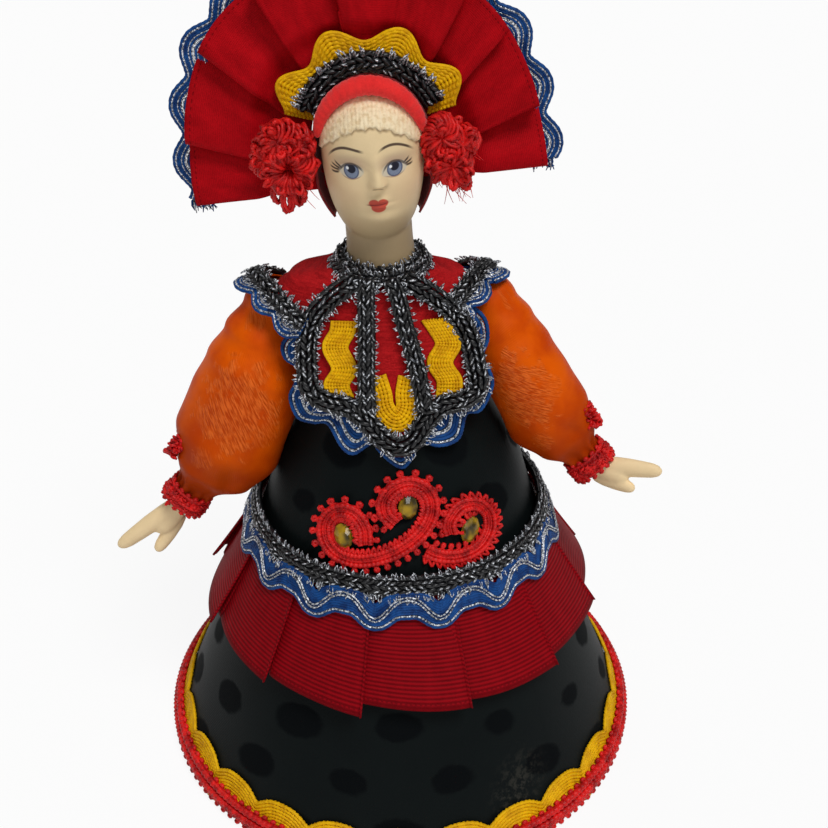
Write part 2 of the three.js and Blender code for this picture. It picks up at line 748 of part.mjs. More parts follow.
// Point on the head's egg at a height and an angle from the front, stood off by a distance
function egg(height, angle, offset = 0) {
  const rise = height > headCentre ? craniumHeight : jawHeight;
  const share = Math.sqrt(Math.max(0, 1 - ((height - headCentre) / (rise + offset)) ** 2));
  return vector(
    (headHalfWidth + offset) * share * Math.sin(angle),
    -(headHalfDepth + offset) * share * Math.cos(angle),
    height
  );
}

function faceRelief(p) {
  const front = p.y < -2 ? 1 : 0;
  const across = p.x - faceTurn;
  const nose = 2.3 * bump(across, 1.15) * (p.z > 24.2 ? bump(p.z - 24.2, 2.6) : bump(p.z - 24.2, 0.8));
  const lips = 0.55 * bump(across, 1.9) * bump(p.z - 20, 0.9);
  const chin = 1.5 * bump(across, 3.4) * bump(p.z - 15.6, 2.2);
  const cheeks = 0.5 * (bump(p.x - 6.4, 2.6) + bump(p.x + 6.4, 2.6)) * bump(p.z - 22.4, 2.6);
  const sockets = -0.9 * (bump(p.x - 4.6, 2.3) + bump(p.x + 4.6, 2.3)) * bump(p.z - 28.2, 1.7);
  return front * (nose + lips + chin + cheeks + sockets);
}

function hairRise(p) {
  const hairline = 36.2 - 0.055 * p.x * p.x;
  return p.z > hairline && p.y < -2 ? hairRelief * (0.7 + 0.3 * Math.cos(p.x * 2.4)) : 0;
}

function makeHead() {
  const columns = 28;
  const heights = [
    0, 4.5, 8.8, 11.5, 13.6, 15.6, 17.6, 19.2, 20.4, 22, 23.6, 24.8, 26.6, 28.4,
    31, 34, 36.4, 38.6, 40.8, 42.4
  ];
  const rows = heights.map((height) => range(columns).map((index) => {
    const turn = 2 * Math.PI * index / columns - Math.PI;
    const angle = turn - 0.6 * Math.sin(turn);
    const surface = egg(height, angle);
    const neckFlare = 0.5 * bump(height, 2.5);
    const neck = round(angle, neckRadius - 0.4 + neckFlare, height).add(vector(0, 0.6, 0));
    const flat = vector(surface.x, surface.y, 0).length();
    const neckFlat = vector(neck.x, neck.y, 0).length();
    if (height < 12 && neckFlat > flat) return neck;
    const relief = faceRelief(surface) + hairRise(surface);
    return surface.add(vector(Math.sin(angle), -Math.cos(angle), 0).multiplyScalar(relief));
  }));
  const bore = bar(vector(0, dowelBack, -3), vector(0, dowelBack, dowelDepth), dowelRadius + clearance, 12);
  add(headGroup, 'head', cut(loft(rows), bore), 'bisque');
}

function makeDowel() {
  const dowel = bar(
    vector(0, dowelBack, -dowelDrop), vector(0, dowelBack, dowelDepth - clearance), dowelRadius, 12
  );
  add(headGroup, 'neck_dowel', dowel, 'wood');
}

// A cloth cap over the back and sides of the head, down to the nape
function makeCap() {
  const steps = 11;
  const foot = 11.5;
  const heights = [foot, 15, 20, headCentre, 35, 39, 41.6];
  const tip = headCentre + craniumHeight;
  const capEdge = Math.asin(capFront / headHalfDepth);
  const angles = range(steps).map((index) =>
    mix(Math.PI / 2 + capEdge, 3 * Math.PI / 2 - capEdge, index / (steps - 1)));
  const layer = (offset, rise) => angles.map((angle) => {
    const top = egg(tip - 0.4, angle, offset).multiplyScalar(0.7).setZ(tip + rise);
    return [...heights.map((height) => egg(height, angle, offset)), top];
  });
  const cap = sheetBody(layer(capFit + capThickness, capFit + 0.6), layer(capFit, capFit - 0.1));
  add(headGroup, 'head_cap', cap, 'redCloth');
}

// A roll arched over the head: its middle line stands off the egg in a plane that leans forward at the top
function arch(degreesFrom, degreesTo, steps, middle, section) {
  return loft(range(steps + 1).map((index) => {
    const angle = radians(mix(degreesFrom, degreesTo, index / steps));
    const out = vector(-Math.cos(angle), 0, Math.sin(angle));
    const place = middle(angle);
    return section(Math.sin(angle), index / steps).map(([rise, depth]) =>
      place.clone().addScaledVector(out, rise).add(vector(0, depth, 0)));
  }));
}

const oval = (half, depth, sides) => range(sides).map((index) => {
  const angle = 2 * Math.PI * (index + 0.5) / sides;
  return [half * Math.cos(angle), depth * Math.sin(angle)];
});

function headOutline(angle, y, offset) {
  const share = Math.sqrt(1 - (y / headHalfDepth) ** 2);
  const [a, b] = [headHalfWidth * share + offset, craniumHeight * share + offset];
  const radius = 1 / Math.hypot(Math.cos(angle) / a, Math.sin(angle) / b);
  return vector(-radius * Math.cos(angle), y, headCentre + radius * Math.sin(angle));
}

function makeHeadband() {
  const springing = 38;
  const steps = 16;
  const roll = arch(springing, 180 - springing, steps, (angle) => {
    const y = -3.6 - 2.6 * Math.sin(angle);
    return headOutline(angle, y, clearance + hairRelief + headbandHeight / 2);
  }, (rise, share) => {
    const full = 0.62 + 0.38 * Math.sin(Math.PI * share);
    return oval(headbandHeight / 2 * full, headbandDepth / 2 * full, 8);
  });
  add(headGroup, 'headband', roll, 'redFelt');
}

function makeCrown() {
  const springing = 34;
  const braidRise = capFit + capThickness + clearance + crownBraidWidth / 2;
  const plaits = 24;
  const braid = arch(springing, 180 - springing, plaits,
    (angle) => headOutline(angle, crownBraidPlane, braidRise),
    (rise, share) => {
      const swell = 0.2 * Math.cos(Math.PI * plaits * share);
      return oval(crownBraidWidth / 2 + swell, crownBraidDepth / 2, 6);
    });
  add(headGroup, 'crown_braid', braid, 'blackSilver');

  const foot = 24;
  const inner = braidRise - crownBraidWidth / 2 + 1.2;
  const ricrac = arch(foot, 180 - foot, 32,
    (angle) => headOutline(angle, 0, inner).setY(crownRicracPlane),
    (rise, share) => {
      const lobe = (mix(foot, 180 - foot, share) - 90) / crownLobePitch + 0.5;
      const top = crownRicracWidth + crownWave * Math.cos(2 * Math.PI * lobe);
      return [[0, 0], [top, 0], [top, ricracThickness], [0, ricracThickness]];
    });
  add(headGroup, 'crown_ricrac', ricrac, 'yellowCord');
}

// Fan. Its own frame turns a little further than the head; angle 0 is its right foot, 180 its left
const fanGroup = new THREE.Group();
fanGroup.position.set(fanAcross, 0, fanFoot);
fanGroup.rotation.y = radians(-fanTilt);
headGroup.add(fanGroup);

function fanRim(angle) {
  const across = Math.abs(Math.cos(angle) / fanHalfWidth) ** fanRoundness;
  const up = Math.abs(Math.sin(angle) / fanHeight) ** fanRoundness;
  return (across + up) ** (-1 / fanRoundness);
}

// Distance from the fan's middle to the opening cut for the head, whose sides are straight up to the temples
function fanMouth(angle) {
  const half = headHalfWidth + capFit + capThickness + clearance * 2 + Math.abs(fanAcross);
  const high = craniumHeight + capFit + capThickness + clearance * 3;
  const straight = headCentre - fanFoot;
  const [c, s] = [Math.abs(Math.cos(angle)), Math.sin(angle)];
  if (c > 1e-6 && half / c * s <= straight) return half / c;
  const a = (c / half) ** 2 + (s / high) ** 2;
  const b = -2 * s * straight / high ** 2;
  const d = (straight / high) ** 2 - 1;
  return (-b + Math.sqrt(b * b - 4 * a * d)) / (2 * a);
}

const fanPoint = (angle, radius, y) => vector(radius * Math.cos(angle), y, radius * Math.sin(angle));
const fanBack = fanFront + fanPleatDepth + clothThickness;
const fanRicracFront = fanBack + clearance;
const fanBackingFront = fanRicracFront + ricracThickness + clearance;

function makeFan() {
  const shares = [0, 0.35, 0.7, 0.94];
  const outlines = [];
  for (const panel of range(fanPanels)) {
    for (const share of panel === fanPanels - 1 ? [...shares, 1] : shares) {
      const angle = Math.PI * (1 - (panel + share) / fanPanels);
      const fold = panel % 2 === 0 ? share : 1 - share;
      const [mouth, rim] = [fanMouth(angle), fanRim(angle)];
      const section = [0, 0.5, 1].map((reach) => {
        const front = fanFront + fanPleatDepth * (1 - fold * (0.45 + 0.55 * reach));
        return [mix(mouth, rim, reach), front];
      });
      const back = section.map(([radius, front]) => [radius, front + clothThickness]).reverse();
      outlines.push([...section, ...back].map(([radius, y]) => fanPoint(angle, radius, y)));
    }
  }
  add(fanGroup, 'fan_ribbon', loft(outlines), 'redRibbon');

  const plate = loft(range(25).map((index) => {
    const angle = Math.PI * (1 - index / 24);
    const [mouth, rim] = [fanMouth(angle), fanRim(angle) - 1.5];
    const back = fanBackingFront + fanBackingThickness;
    return [[mouth, fanBackingFront], [rim, fanBackingFront], [rim, back], [mouth, back]]
      .map(([radius, y]) => fanPoint(angle, radius, y));
  }));
  add(fanGroup, 'fan_backing', plate, 'card');

  const steps = fanRicracLobes * 4;
  const edging = loft(range(steps + 1).map((index) => {
    const angle = Math.PI * (1 - index / steps);
    const wave = fanRicracWave * Math.cos(2 * Math.PI * fanRicracLobes * index / steps);
    const [inner, outer] = [fanRim(angle) - 4, fanRim(angle) + fanRicracReach - fanRicracWave + wave];
    const back = fanRicracFront + ricracThickness;
    return [[inner, fanRicracFront], [outer, fanRicracFront], [outer, back], [inner, back]]
      .map(([radius, y]) => fanPoint(angle, radius, y));
  }));
  add(fanGroup, 'fan_ricrac', edging, 'blueSilver');
}

// A rosette is one cord wound in loops round an oval ring. Its least gap to itself is measured on points
class RosetteCurve extends THREE.Curve {
  constructor(rosette) {
    super();
    this.rosette = rosette;
  }

  getPoint(share) {
    const { ring, loop, loops, stretch } = this.rosette;
    const turn = 2 * Math.PI * share * (1 - 0.8 / loops);
    const wind = 2 * Math.PI * share * (loops - 1);
    const reach = ring + loop * Math.cos(wind);
    return vector(reach * Math.cos(turn), loop * Math.sin(wind), reach * Math.sin(turn) * stretch);
  }
}

function leastGap(curve, loops) {
  const count = loops * 24;
  const places = range(count + 1).map((index) => curve.getPoint(index / count));
  let least = Infinity;
  for (let first = 0; first < count; first += 1) {
    for (let second = first + 12; second <= count; second += 1) {
      least = Math.min(least, places[first].distanceTo(places[second]));
    }
  }
  return least - 2 * rosetteCord;
}

function makeRosettes() {
  for (const rosette of rosettes) {
    const curve = new RosetteCurve(rosette);
    console.log(`${rosette.name}: least gap to itself ${leastGap(curve, rosette.loops).toFixed(2)} mm`);
    const cord = tube(curve, rosetteCord, rosetteSides, rosetteSteps * (rosette.loops - 1));
    cord.translate(rosette.x, -rosetteDepth(rosette), rosette.z);
    add(headGroup, rosette.name, cord, 'redGimp');
  }
}

const rosetteDepth = (rosette) => rosette.loop + rosetteCord - capFront + clearance;

// Arms: sleeve, filling, cuff, tuft, hand and wire, in a frame whose origin is the pivot
function armGroup(arm) {
  const place = new THREE.Group();
  place.position.set(...arm.pivot);
  doll.add(place);
  return place;
}

function sleeveLine(arm) {
  const end = vector(...arm.hang);
  const ahead = end.clone().normalize();
  const sag = vector(-arm.side * Math.abs(ahead.z), 0, -Math.abs(ahead.x)).multiplyScalar(2 * arm.sag);
  const middle = end.clone().divideScalar(2).add(sag);
  return new THREE.QuadraticBezierCurve3(vector(0, 0, 0), middle, end);
}

const tuftShare = 0.77;
const sleeveSwell = [
  [0, 0], [0.14, 0.62], [0.3, 0.92], [0.45, 1], [0.64, 0.95], [0.78, 0.6], [0.91, 0.05], [1, 0]
];

function sleeveRadius(arm, share) {
  const straight = mix(shoulderBallRadius, 4.4, share);
  return straight + (arm.fullness - mix(shoulderBallRadius, 4.4, 0.45)) * along(sleeveSwell, share);
}

function sleeveSolid(arm, inset, from, to) {
  const line = sleeveLine(arm);
  const sides = 12;
  const outlines = [];
  if (from === 0) {
    const start = line.getTangent(0);
    for (const degrees of [70, 35]) {
      const ball = shoulderBallRadius - inset;
      const centre = start.clone().multiplyScalar(-ball * Math.sin(radians(degrees)));
      outlines.push(circle(centre, start, ball * Math.cos(radians(degrees)), sides));
    }
  }
  const shares = [0, 0.1, 0.22, 0.36, 0.5, 0.64, tuftShare, 0.88, 1];
  for (const share of shares.filter((value) => value >= from && value <= to)) {
    const radius = sleeveRadius(arm, share) - inset;
    outlines.push(circle(line.getPoint(share), line.getTangent(share), radius, sides));
  }
  return loft(outlines);
}

function makeArm(arm) {
  const parent = armGroup(arm);
  const line = sleeveLine(arm);
  const towardBody = vector(-arm.side, 0, 0);
  const end = line.getPoint(1);
  const down = line.getTangent(1);

  const armhole = bar(vector(0, 0, 0), towardBody.clone().multiplyScalar(12), armholeRadius, 16);
  const cuffMouth = bar(end.clone().addScaledVector(down, -6), end.clone().addScaledVector(down, 3), 3.4, 12);
  const sleeve = cut(
    sleeveSolid(arm, 0, 0, 1), sleeveSolid(arm, clothThickness, 0, 1), armhole, cuffMouth
  );
  add(parent, `sleeve_${arm.name}`, sleeve, 'orangeSatin');

  // The arm wire follows the sleeve from just past the bend to inside the hand
  const handStart = end.clone().addScaledVector(down, 1.5);
  const wireStart = line.getPoint(0.035);
  const wire = new THREE.CatmullRomCurve3(
    [wireStart, line.getPoint(0.3), line.getPoint(0.65), end.clone().addScaledVector(down, -1), handStart]
  );
  const wireSteps = 7;
  add(parent, `arm_wire_${arm.name}`, tube(wire, wireRadius, 8, wireSteps), 'steel');

  const bore = tube(wire, wireRadius + clearance, 8, wireSteps);
  const filling = cut(sleeveSolid(arm, clothThickness + clearance, 0.1, 0.88), bore);
  add(parent, `sleeve_filling_${arm.name}`, filling, 'filling');

  // Bend of the armature wire at the pivot
  const bendHalf = wireBendLength / 2;
  const bend = bar(towardBody.clone().multiplyScalar(bendHalf), vector(0, 0, 0), wireRadius, 8);
  add(parent, `wire_bend_${arm.name}`, bend, 'steel');

  makeCuff(arm, parent, end, down);
  makeHand(arm, parent, handStart);
}

function makeCuff(arm, parent, end, down) {
  const steps = 18;
  const across = circle(vector(0, 0, 0), down, 1, steps);
  const centre = end.clone().addScaledVector(down, -0.2);
  const outlines = across.map((out, index) => {
    const frill = 0.35 * (index % 2);
    const section = [[4.9, -2], [5.9 + frill, -1.8], [6.6 + frill, 0.6], [5.6 + frill, 2.6], [4.9, 1.4]];
    return section.map(([radius, ahead]) =>
      centre.clone().addScaledVector(out, radius).addScaledVector(down, ahead));
  });
  add(parent, `cuff_braid_${arm.name}`, loft(outlines, true), 'redGimp');

  // A tuft of the same gimp on the outside of the sleeve
  const line = sleeveLine(arm);
  const share = tuftShare;
  const ahead = line.getTangent(share);
  const out = vector(arm.side, -0.35, 0).addScaledVector(ahead, -arm.side * ahead.x).normalize();
  const seat = line.getPoint(share).addScaledVector(out, sleeveRadius(arm, share) + clearance);
  const tuft = new THREE.IcosahedronGeometry(1.9, 1);
  tuft.scale(0.9, 0.9, 1.5);
  const turned = tuft.applyQuaternion(new THREE.Quaternion().setFromUnitVectors(vector(0, 0, 1), ahead));
  const lifted = seat.clone().addScaledVector(out, 1.5);
  add(parent, `sleeve_tuft_${arm.name}`, turned.translate(lifted.x, lifted.y, lifted.z), 'redGimp');
}

// A mitten hand: wrist, palm and fingers in one slender paddle, and a thumb
function makeHand(arm, parent, wrist) {
  const ahead = vector(...arm.handDirection).normalize();
  const lobe = (start, direction, sizes) => {
    const turn = direction.clone().normalize();
    return toSolid(loft(sizes.map(([distance, width, depth]) =>
      circle(start.clone().addScaledVector(turn, distance), turn, width, 10, depth / width))));
  };
  const { wrist: wristLength, palm, fingers, thumb } = handLengths;
  const reach = wristLength + palm + fingers - 4;
  const paddle = lobe(wrist, ahead, [
    [0, 2.2, 2.2], [wristLength * 0.7, 2.3, 2.1],
    [wristLength + palm * 0.5, 3.4, 2], [wristLength + palm * 0.8, 3.2, 1.8],
    [reach * 0.82, 2.3, 1.5], [reach * 0.95, 1.8, 1.2], [reach, 0.9, 0.7]
  ]);
  const thumbStart = wrist.clone().addScaledVector(ahead, wristLength + palm * 0.35);
  const thumbLobe = lobe(thumbStart, vector(...arm.thumbDirection), [
    [0, 1.7, 1.5], [thumb * 0.6, 1.5, 1.3], [thumb * 0.9, 1.2, 1], [thumb, 0.6, 0.5]
  ]);
  const hand = toGeometry(paddle.add(thumbLobe));
  const gapped = hand.translate(ahead.x * clearance * 2, ahead.y * clearance * 2, ahead.z * clearance * 2);
  add(parent, `hand_${arm.name}`, gapped, 'bisque');
}

makeSkirt();
makeHem();
makePeplum();
makeWaist();
makeBelt();
makeTorso();
makeBib();
makeStraps();
makeCollar();
makeHead();
makeDowel();
makeCap();
makeHeadband();
makeCrown();
makeFan();
makeRosettes();
arms.forEach(makeArm);

export default doll;
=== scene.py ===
import math
import random

import bmesh
import bpy
import numpy as np
from mathutils import Matrix, Vector


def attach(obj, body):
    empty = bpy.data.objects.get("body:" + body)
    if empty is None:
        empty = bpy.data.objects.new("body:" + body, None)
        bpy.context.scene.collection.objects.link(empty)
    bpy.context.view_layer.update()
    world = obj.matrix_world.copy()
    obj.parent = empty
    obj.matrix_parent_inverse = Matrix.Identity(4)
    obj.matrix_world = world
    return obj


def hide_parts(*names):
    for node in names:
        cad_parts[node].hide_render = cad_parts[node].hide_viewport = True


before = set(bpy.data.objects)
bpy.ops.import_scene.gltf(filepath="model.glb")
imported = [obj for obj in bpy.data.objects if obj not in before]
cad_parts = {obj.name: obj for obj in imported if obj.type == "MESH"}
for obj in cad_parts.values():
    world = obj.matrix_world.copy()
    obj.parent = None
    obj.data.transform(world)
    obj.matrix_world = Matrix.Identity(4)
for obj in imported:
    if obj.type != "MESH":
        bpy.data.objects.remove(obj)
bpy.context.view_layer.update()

# The doll is laid out in millimetres, +Z up, facing -Y, as the solids are. Meshes are written in metres.
# Left and right in names are as seen from the front, so left is -X.
MM = 0.001
TURN = 2 * math.pi
chance = random.Random(11)

# Sizes shared with the solids
CLOTH = 0.6
WAIST = 72
TRIM_TOP = WAIST - 4.2
HEM_RADIUS = 62.2
CARD_TOP = 95
SATIN_TOP = 108
SHOULDER = 131
TORSO_TOP = 138
BIB_X, BIB_CURVE = 1.3, 0.008
NECK_X, NECK_FOOT = -3.8, TORSO_TOP + 1
HEAD_TILT = 3.2
FAN_X, FAN_FOOT, FAN_TILT = -1.2, 17.3, 4.2
HEAD_WIDE, HEAD_DEEP, HEAD_MIDDLE, CROWN, JAW = 11.4, 12.6, 29, 13.6, 24

# How much the cone narrows for each millimetre up, and how far its top leans to the left
SLOPE = 28.2 / WAIST
LEAN = 5

# The sleeve is as in the solids. Tip, thumb and palm are where the parts of the hand end, and cut is the size
# to which the satin was cut, in metres.
ARMS = {
    "left": dict(side=-1, pivot=(-29.5, 1, 126), cuff=(-53.2, -7.5, 76), fullness=13.4, sag=2.8,
                 tip=(-72.1, -9.6, 60.8), thumb=((-57.0, -7.2, 66.8), (-62.5, -9.4, 59.2)),
                 palm=(-61.7, -8.8, 65.1), cut=(0.086, 0.068)),
    "right": dict(side=1, pivot=(21.5, 1, 126.5), cuff=(47.1, -7.5, 87), fullness=10.4, sag=1.8,
                  tip=(64.5, -13.2, 87.3), thumb=((51.0, -9.0, 82.2), (58.3, -13.0, 81.8)),
                  palm=(56.5, -11.6, 83.8), cut=(0.068, 0.056)),
}


# Surfaces of the body, as functions of arrays of millimetres
def array(*values):
    return np.stack(np.broadcast_arrays(*[np.asarray(v, float) for v in values]), axis=-1)


def unit(vectors):
    vectors = np.asarray(vectors, float)
    return vectors / np.maximum(np.linalg.norm(vectors, axis=-1, keepdims=True), 1e-12)


def between(low, high, share):
    return low + (high - low) * share


def hump(distance, width):
    return np.exp(-(distance ** 2) / (2 * width ** 2))


def ease(value, low, high):
    share = np.clip((value - low) / (high - low), 0, 1)
    return share * share * (3 - 2 * share)


def along_pairs(pairs, value):
    """Value read from [place, value] pairs, with smooth steps between them."""
    value = np.asarray(value, float)
    result = np.full(value.shape, float(pairs[0][1]))
    for (x0, y0), (x1, y1) in zip(pairs, pairs[1:]):
        result = np.where(value >= x0, between(y0, y1, ease(value, x0, x1)), result)
    return result


def skirt_radius(height):
    return HEM_RADIUS - SLOPE * height


def lean(height):
    height = np.asarray(height)
    return np.where(height <= CARD_TOP, 0, -LEAN * (height - CARD_TOP) / (TORSO_TOP - CARD_TOP))


def on_cone(angle, height, off=0):
    radius = skirt_radius(height) + off
    return array(radius * np.sin(angle) + lean(height), -radius * np.cos(angle), height)


def on_belt(across, rise, off=0):
    height = np.asarray(rise) + WAIST
    radius = skirt_radius(height) + off
    return on_cone(np.arcsin(across / radius), height, off)


def facing(surface, across, height):
    """Outward directions square to one of the sloping surfaces."""
    return surface(across, height, 1) - surface(across, height, 0) + (0, 0, SLOPE)


def on_bib(across, height, off=0):
    x = np.asarray(across) + BIB_X
    return array(x + lean(height), -skirt_radius(height) - off + BIB_CURVE * x * x, height)


def tilted(points, degrees):
    """Points turned round Y, so that what stands up leans to the left."""
    return np.asarray(points) @ np.array(Matrix.Rotation(math.radians(-degrees), 3, "Y")).T


def head(points):
    """Points of the head's own frame, moved to where the head stands."""
    return tilted(points, HEAD_TILT) + (NECK_X, 0, NECK_FOOT)


def fan(points):
    return head(tilted(points, FAN_TILT) + (FAN_X, 0, FAN_FOOT))


def hairline(x, sine=np.sin):
    """How high the scalloped hair starts at x, for places and for a finish's nodes alike."""
    return 35.9 - x * x * 0.052 + sine(x * 1.9) * 0.22 + sine(x * 4.3 + 1) * 0.12


def head_arch(degrees, y, off):
    """The head's outline seen from the front, from its right temple over the top to its left one."""
    angle = np.radians(degrees)
    share = np.sqrt(1 - (np.asarray(y) / HEAD_DEEP) ** 2)
    a, b = HEAD_WIDE * share + off, CROWN * share + off
    radius = 1 / np.hypot(np.cos(angle) / a, np.sin(angle) / b)
    return array(-radius * np.cos(angle), y, HEAD_MIDDLE + radius * np.sin(angle))


def smooth_line(points, steps):
    """Evenly spaced places on a smooth line through the points."""
    points = np.asarray(points, float)
    around = np.vstack([2 * points[0] - points[1], points, 2 * points[-1] - points[-2]])
    share = np.linspace(0, 1, 16, endpoint=False)[:, None]
    dense = []
    for a, b, c, d in zip(around, around[1:], around[2:], around[3:]):
        dense.append(0.5 * (2 * b + (c - a) * share + (2 * a - 5 * b + 4 * c - d) * share ** 2
                            + (3 * b - a - 3 * c + d) * share ** 3))
    dense = np.vstack([*dense, around[-2][None]])
    length = np.concatenate([[0], np.cumsum(np.linalg.norm(np.diff(dense, axis=0), axis=1))])
    even = np.linspace(0, length[-1], steps + 1)
    return np.stack([np.interp(even, length, column) for column in dense.T], axis=-1)


class Track:
    """A line that trims follow. Along it, cords stand off to the side and away from the surface."""

    def __init__(self, places, outward, closed=False):
        if closed:
            places, outward = np.vstack([places, places[:1]]), np.vstack([outward, outward[:1]])
        self.closed = closed
        self.places = places
        self.along = np.concatenate([[0], np.cumsum(np.linalg.norm(np.diff(places, axis=0), axis=1))])
        self.length = self.along[-1]
        if closed:
            ahead = unit(np.roll(places[:-1], -1, 0) - np.roll(places[:-1], 1, 0))
            ahead = np.vstack([ahead, ahead[:1]])
        else:
            ahead = unit(np.gradient(places, axis=0))
        out = unit(outward - ahead * np.sum(outward * ahead, axis=1, keepdims=True))
        self.out, self.side = out, np.cross(out, ahead)

    def samples(self, step):
        count = max(3, int(round(self.length / step)))
        return np.linspace(0, self.length, count + (not self.closed), endpoint=not self.closed)

    def at(self, along, across=0, lift=0):
        place = along % self.length if self.closed else np.clip(along, 0, self.length)
        parts = [np.stack([np.interp(place, self.along, column) for column in table.T], axis=-1)
                 for table in (self.places, self.side, self.out)]
        across, lift = np.asarray(across, float)[..., None], np.asarray(lift, float)[..., None]
        return parts[0] + parts[1] * across + parts[2] * lift


def track_on(surface, pairs, steps):
    across, height = smooth_line(pairs, steps).T
    return Track(surface(across, height, 0), facing(surface, across, height))


def ring_track(height, off=0):
    angle = np.linspace(0, TURN, 360, endpoint=False)
    return Track(on_cone(angle, height, off), facing(on_cone, angle, height), closed=True)


# Finishes
def paint(red, green, blue):
    """A colour given as on a screen, 0 to 255, as the shader takes it."""
    levels = [value / 255 for value in (red, green, blue)]
    return (*[level / 12.92 if level < 0.04 else ((level + 0.055) / 1.055) ** 2.4 for level in levels], 1)


def maths(operation, turned=False):
    """A method of Number that adds one Math node. When turned, the number itself comes last."""
    def method(number, *others):
        values = (*others, number) if turned else (number, *others)
        return number.finish.node("ShaderNodeMath", {"operation": operation}, dict(enumerate(values)))
    return method


class Number:
    """An output of a finish's nodes. Arithmetic on it adds Math nodes."""
    __add__, __radd__ = maths("ADD"), maths("ADD", turned=True)
    __sub__, __rsub__ = maths("SUBTRACT"), maths("SUBTRACT", turned=True)
    __mul__, __rmul__ = maths("MULTIPLY"), maths("MULTIPLY", turned=True)
    __truediv__, __rtruediv__ = maths("DIVIDE"), maths("DIVIDE", turned=True)
    __pow__, __abs__ = maths("POWER"), maths("ABSOLUTE")
    sine, fraction, whole, root = maths("SINE"), maths("FRACT"), maths("FLOOR"), maths("SQRT")
    least, most = maths("MINIMUM"), maths("MAXIMUM")

    def __init__(self, finish, socket):
        self.finish, self.socket = finish, socket

    def __neg__(self):
        return self * -1.0

    def fade(self, low, high):
        """Smoothly 0 at low and 1 at high."""
        return self.finish.node("ShaderNodeMapRange", {"interpolation_type": "SMOOTHSTEP"},
                                {0: self, 1: low, 2: high, 3: 0.0, 4: 1.0})


class Finish:
    """One material: its nodes are added with node(), and its plain settings go straight on the shader."""

    def __init__(self, name, **settings):
        self.material = bpy.data.materials.new(name)
        self.material.use_nodes = True
        self.tree = self.material.node_tree
        self.shader = self.tree.nodes["Principled BSDF"]
        self.feed_shader(settings)

    def feed(self, socket, value):
        if isinstance(value, Number):
            self.tree.links.new(value.socket, socket)
        else:
            socket.default_value = value

    def feed_shader(self, values):
        for label, value in values.items():
            self.feed(self.shader.inputs[label.replace("_", " ")], value)

    def node(self, kind, settings=None, values=None, output=0):
        made = self.tree.nodes.new(kind)
        for name, value in (settings or {}).items():
            setattr(made, name, value)
        for name, value in (values or {}).items():
            self.feed(made.inputs[name], value)
        return Number(self, made.outputs[output])

    def place(self):
        """Object coordinates in millimetres."""
        metres = self.node("ShaderNodeTexCoord", output=3)
        return self.node("ShaderNodeVectorMath", {"operation": "SCALE"}, {0: metres, 3: 1 / MM})

    def cut(self):
        """The piece's own flat coordinates, 0 to 1 each way."""
        return self.node("ShaderNodeUVMap", {"uv_map": "cut"})

    def parts(self, vector):
        made = self.tree.nodes.new("ShaderNodeSeparateXYZ")
        self.feed(made.inputs[0], vector)
        return [Number(self, socket) for socket in made.outputs]

    def joined(self, x=0.0, y=0.0, z=0.0):
        return self.node("ShaderNodeCombineXYZ", values={0: x, 1: y, 2: z})

    def noise(self, vector, size, detail=3.0, roughness=0.55):
        return self.node("ShaderNodeTexNoise", values={"Vector": vector, "Scale": 1 / size, "Detail": detail,
                                                       "Roughness": roughness})

    def cells(self, vector, size, randomness=1.0):
        return self.node("ShaderNodeTexVoronoi", values={"Vector": vector, "Scale": 1 / size,
                                                         "Randomness": randomness})

    def mix(self, first, second, share):
        return self.node("ShaderNodeMix", {"data_type": "RGBA"}, {0: share, 6: first, 7: second}, output=2)

    def wear(self, Relief=None, **links):
        """Feeds what changes over the surface. Relief is a height in millimetres."""
        self.feed_shader(links)
        if Relief is not None:
            bump = self.node("ShaderNodeBump", values={"Strength": 1.0, "Distance": MM, "Height": Relief})
            self.feed(self.shader.inputs["Normal"], bump)
        return self.material


def thread(name, deep, bright, roughness, fibre=0.25, patchy=True, **settings):
    """Twisted rayon or metal thread: darker between its fibres, which is painted shade, with painted glints
    on metal, and, unless it is metal, darker in soft patches.
    """
    finish = Finish(name, **settings)
    place = finish.place()
    # The fibre grain: low and darker between fibres as painted shade, bright on metal as painted glints
    fine = finish.noise(place, fibre, 2.0, 0.7)
    if patchy:
        share = (finish.noise(place, 2.6, 2.0) * 0.6 + fine * 0.4).fade(0.34, 0.62)
    else:
        share = fine.fade(0.42, 0.62)
    return finish.wear(Base_Color=finish.mix(deep, bright, share), Roughness=roughness + fine * 0.2,
                       Relief=fine * 0.04)


def plain(name, deep, bright, grain, roughness, relief, **settings):
    """Two tints mixed by one grain, which is given as its size in millimetres, detail and roughness."""
    finish = Finish(name, **settings)
    speck = finish.noise(finish.place(), *grain)
    least, grown = roughness
    return finish.wear(Base_Color=finish.mix(deep, bright, speck), Roughness=least + speck * grown,
                       Relief=speck * relief)


# Flat width and length over which the skirt's dots are woven, and their pitch both ways
SATIN_WIDE, SATIN_LONG = 320, 180
DOT_ACROSS, DOT_DOWN = 26, 14


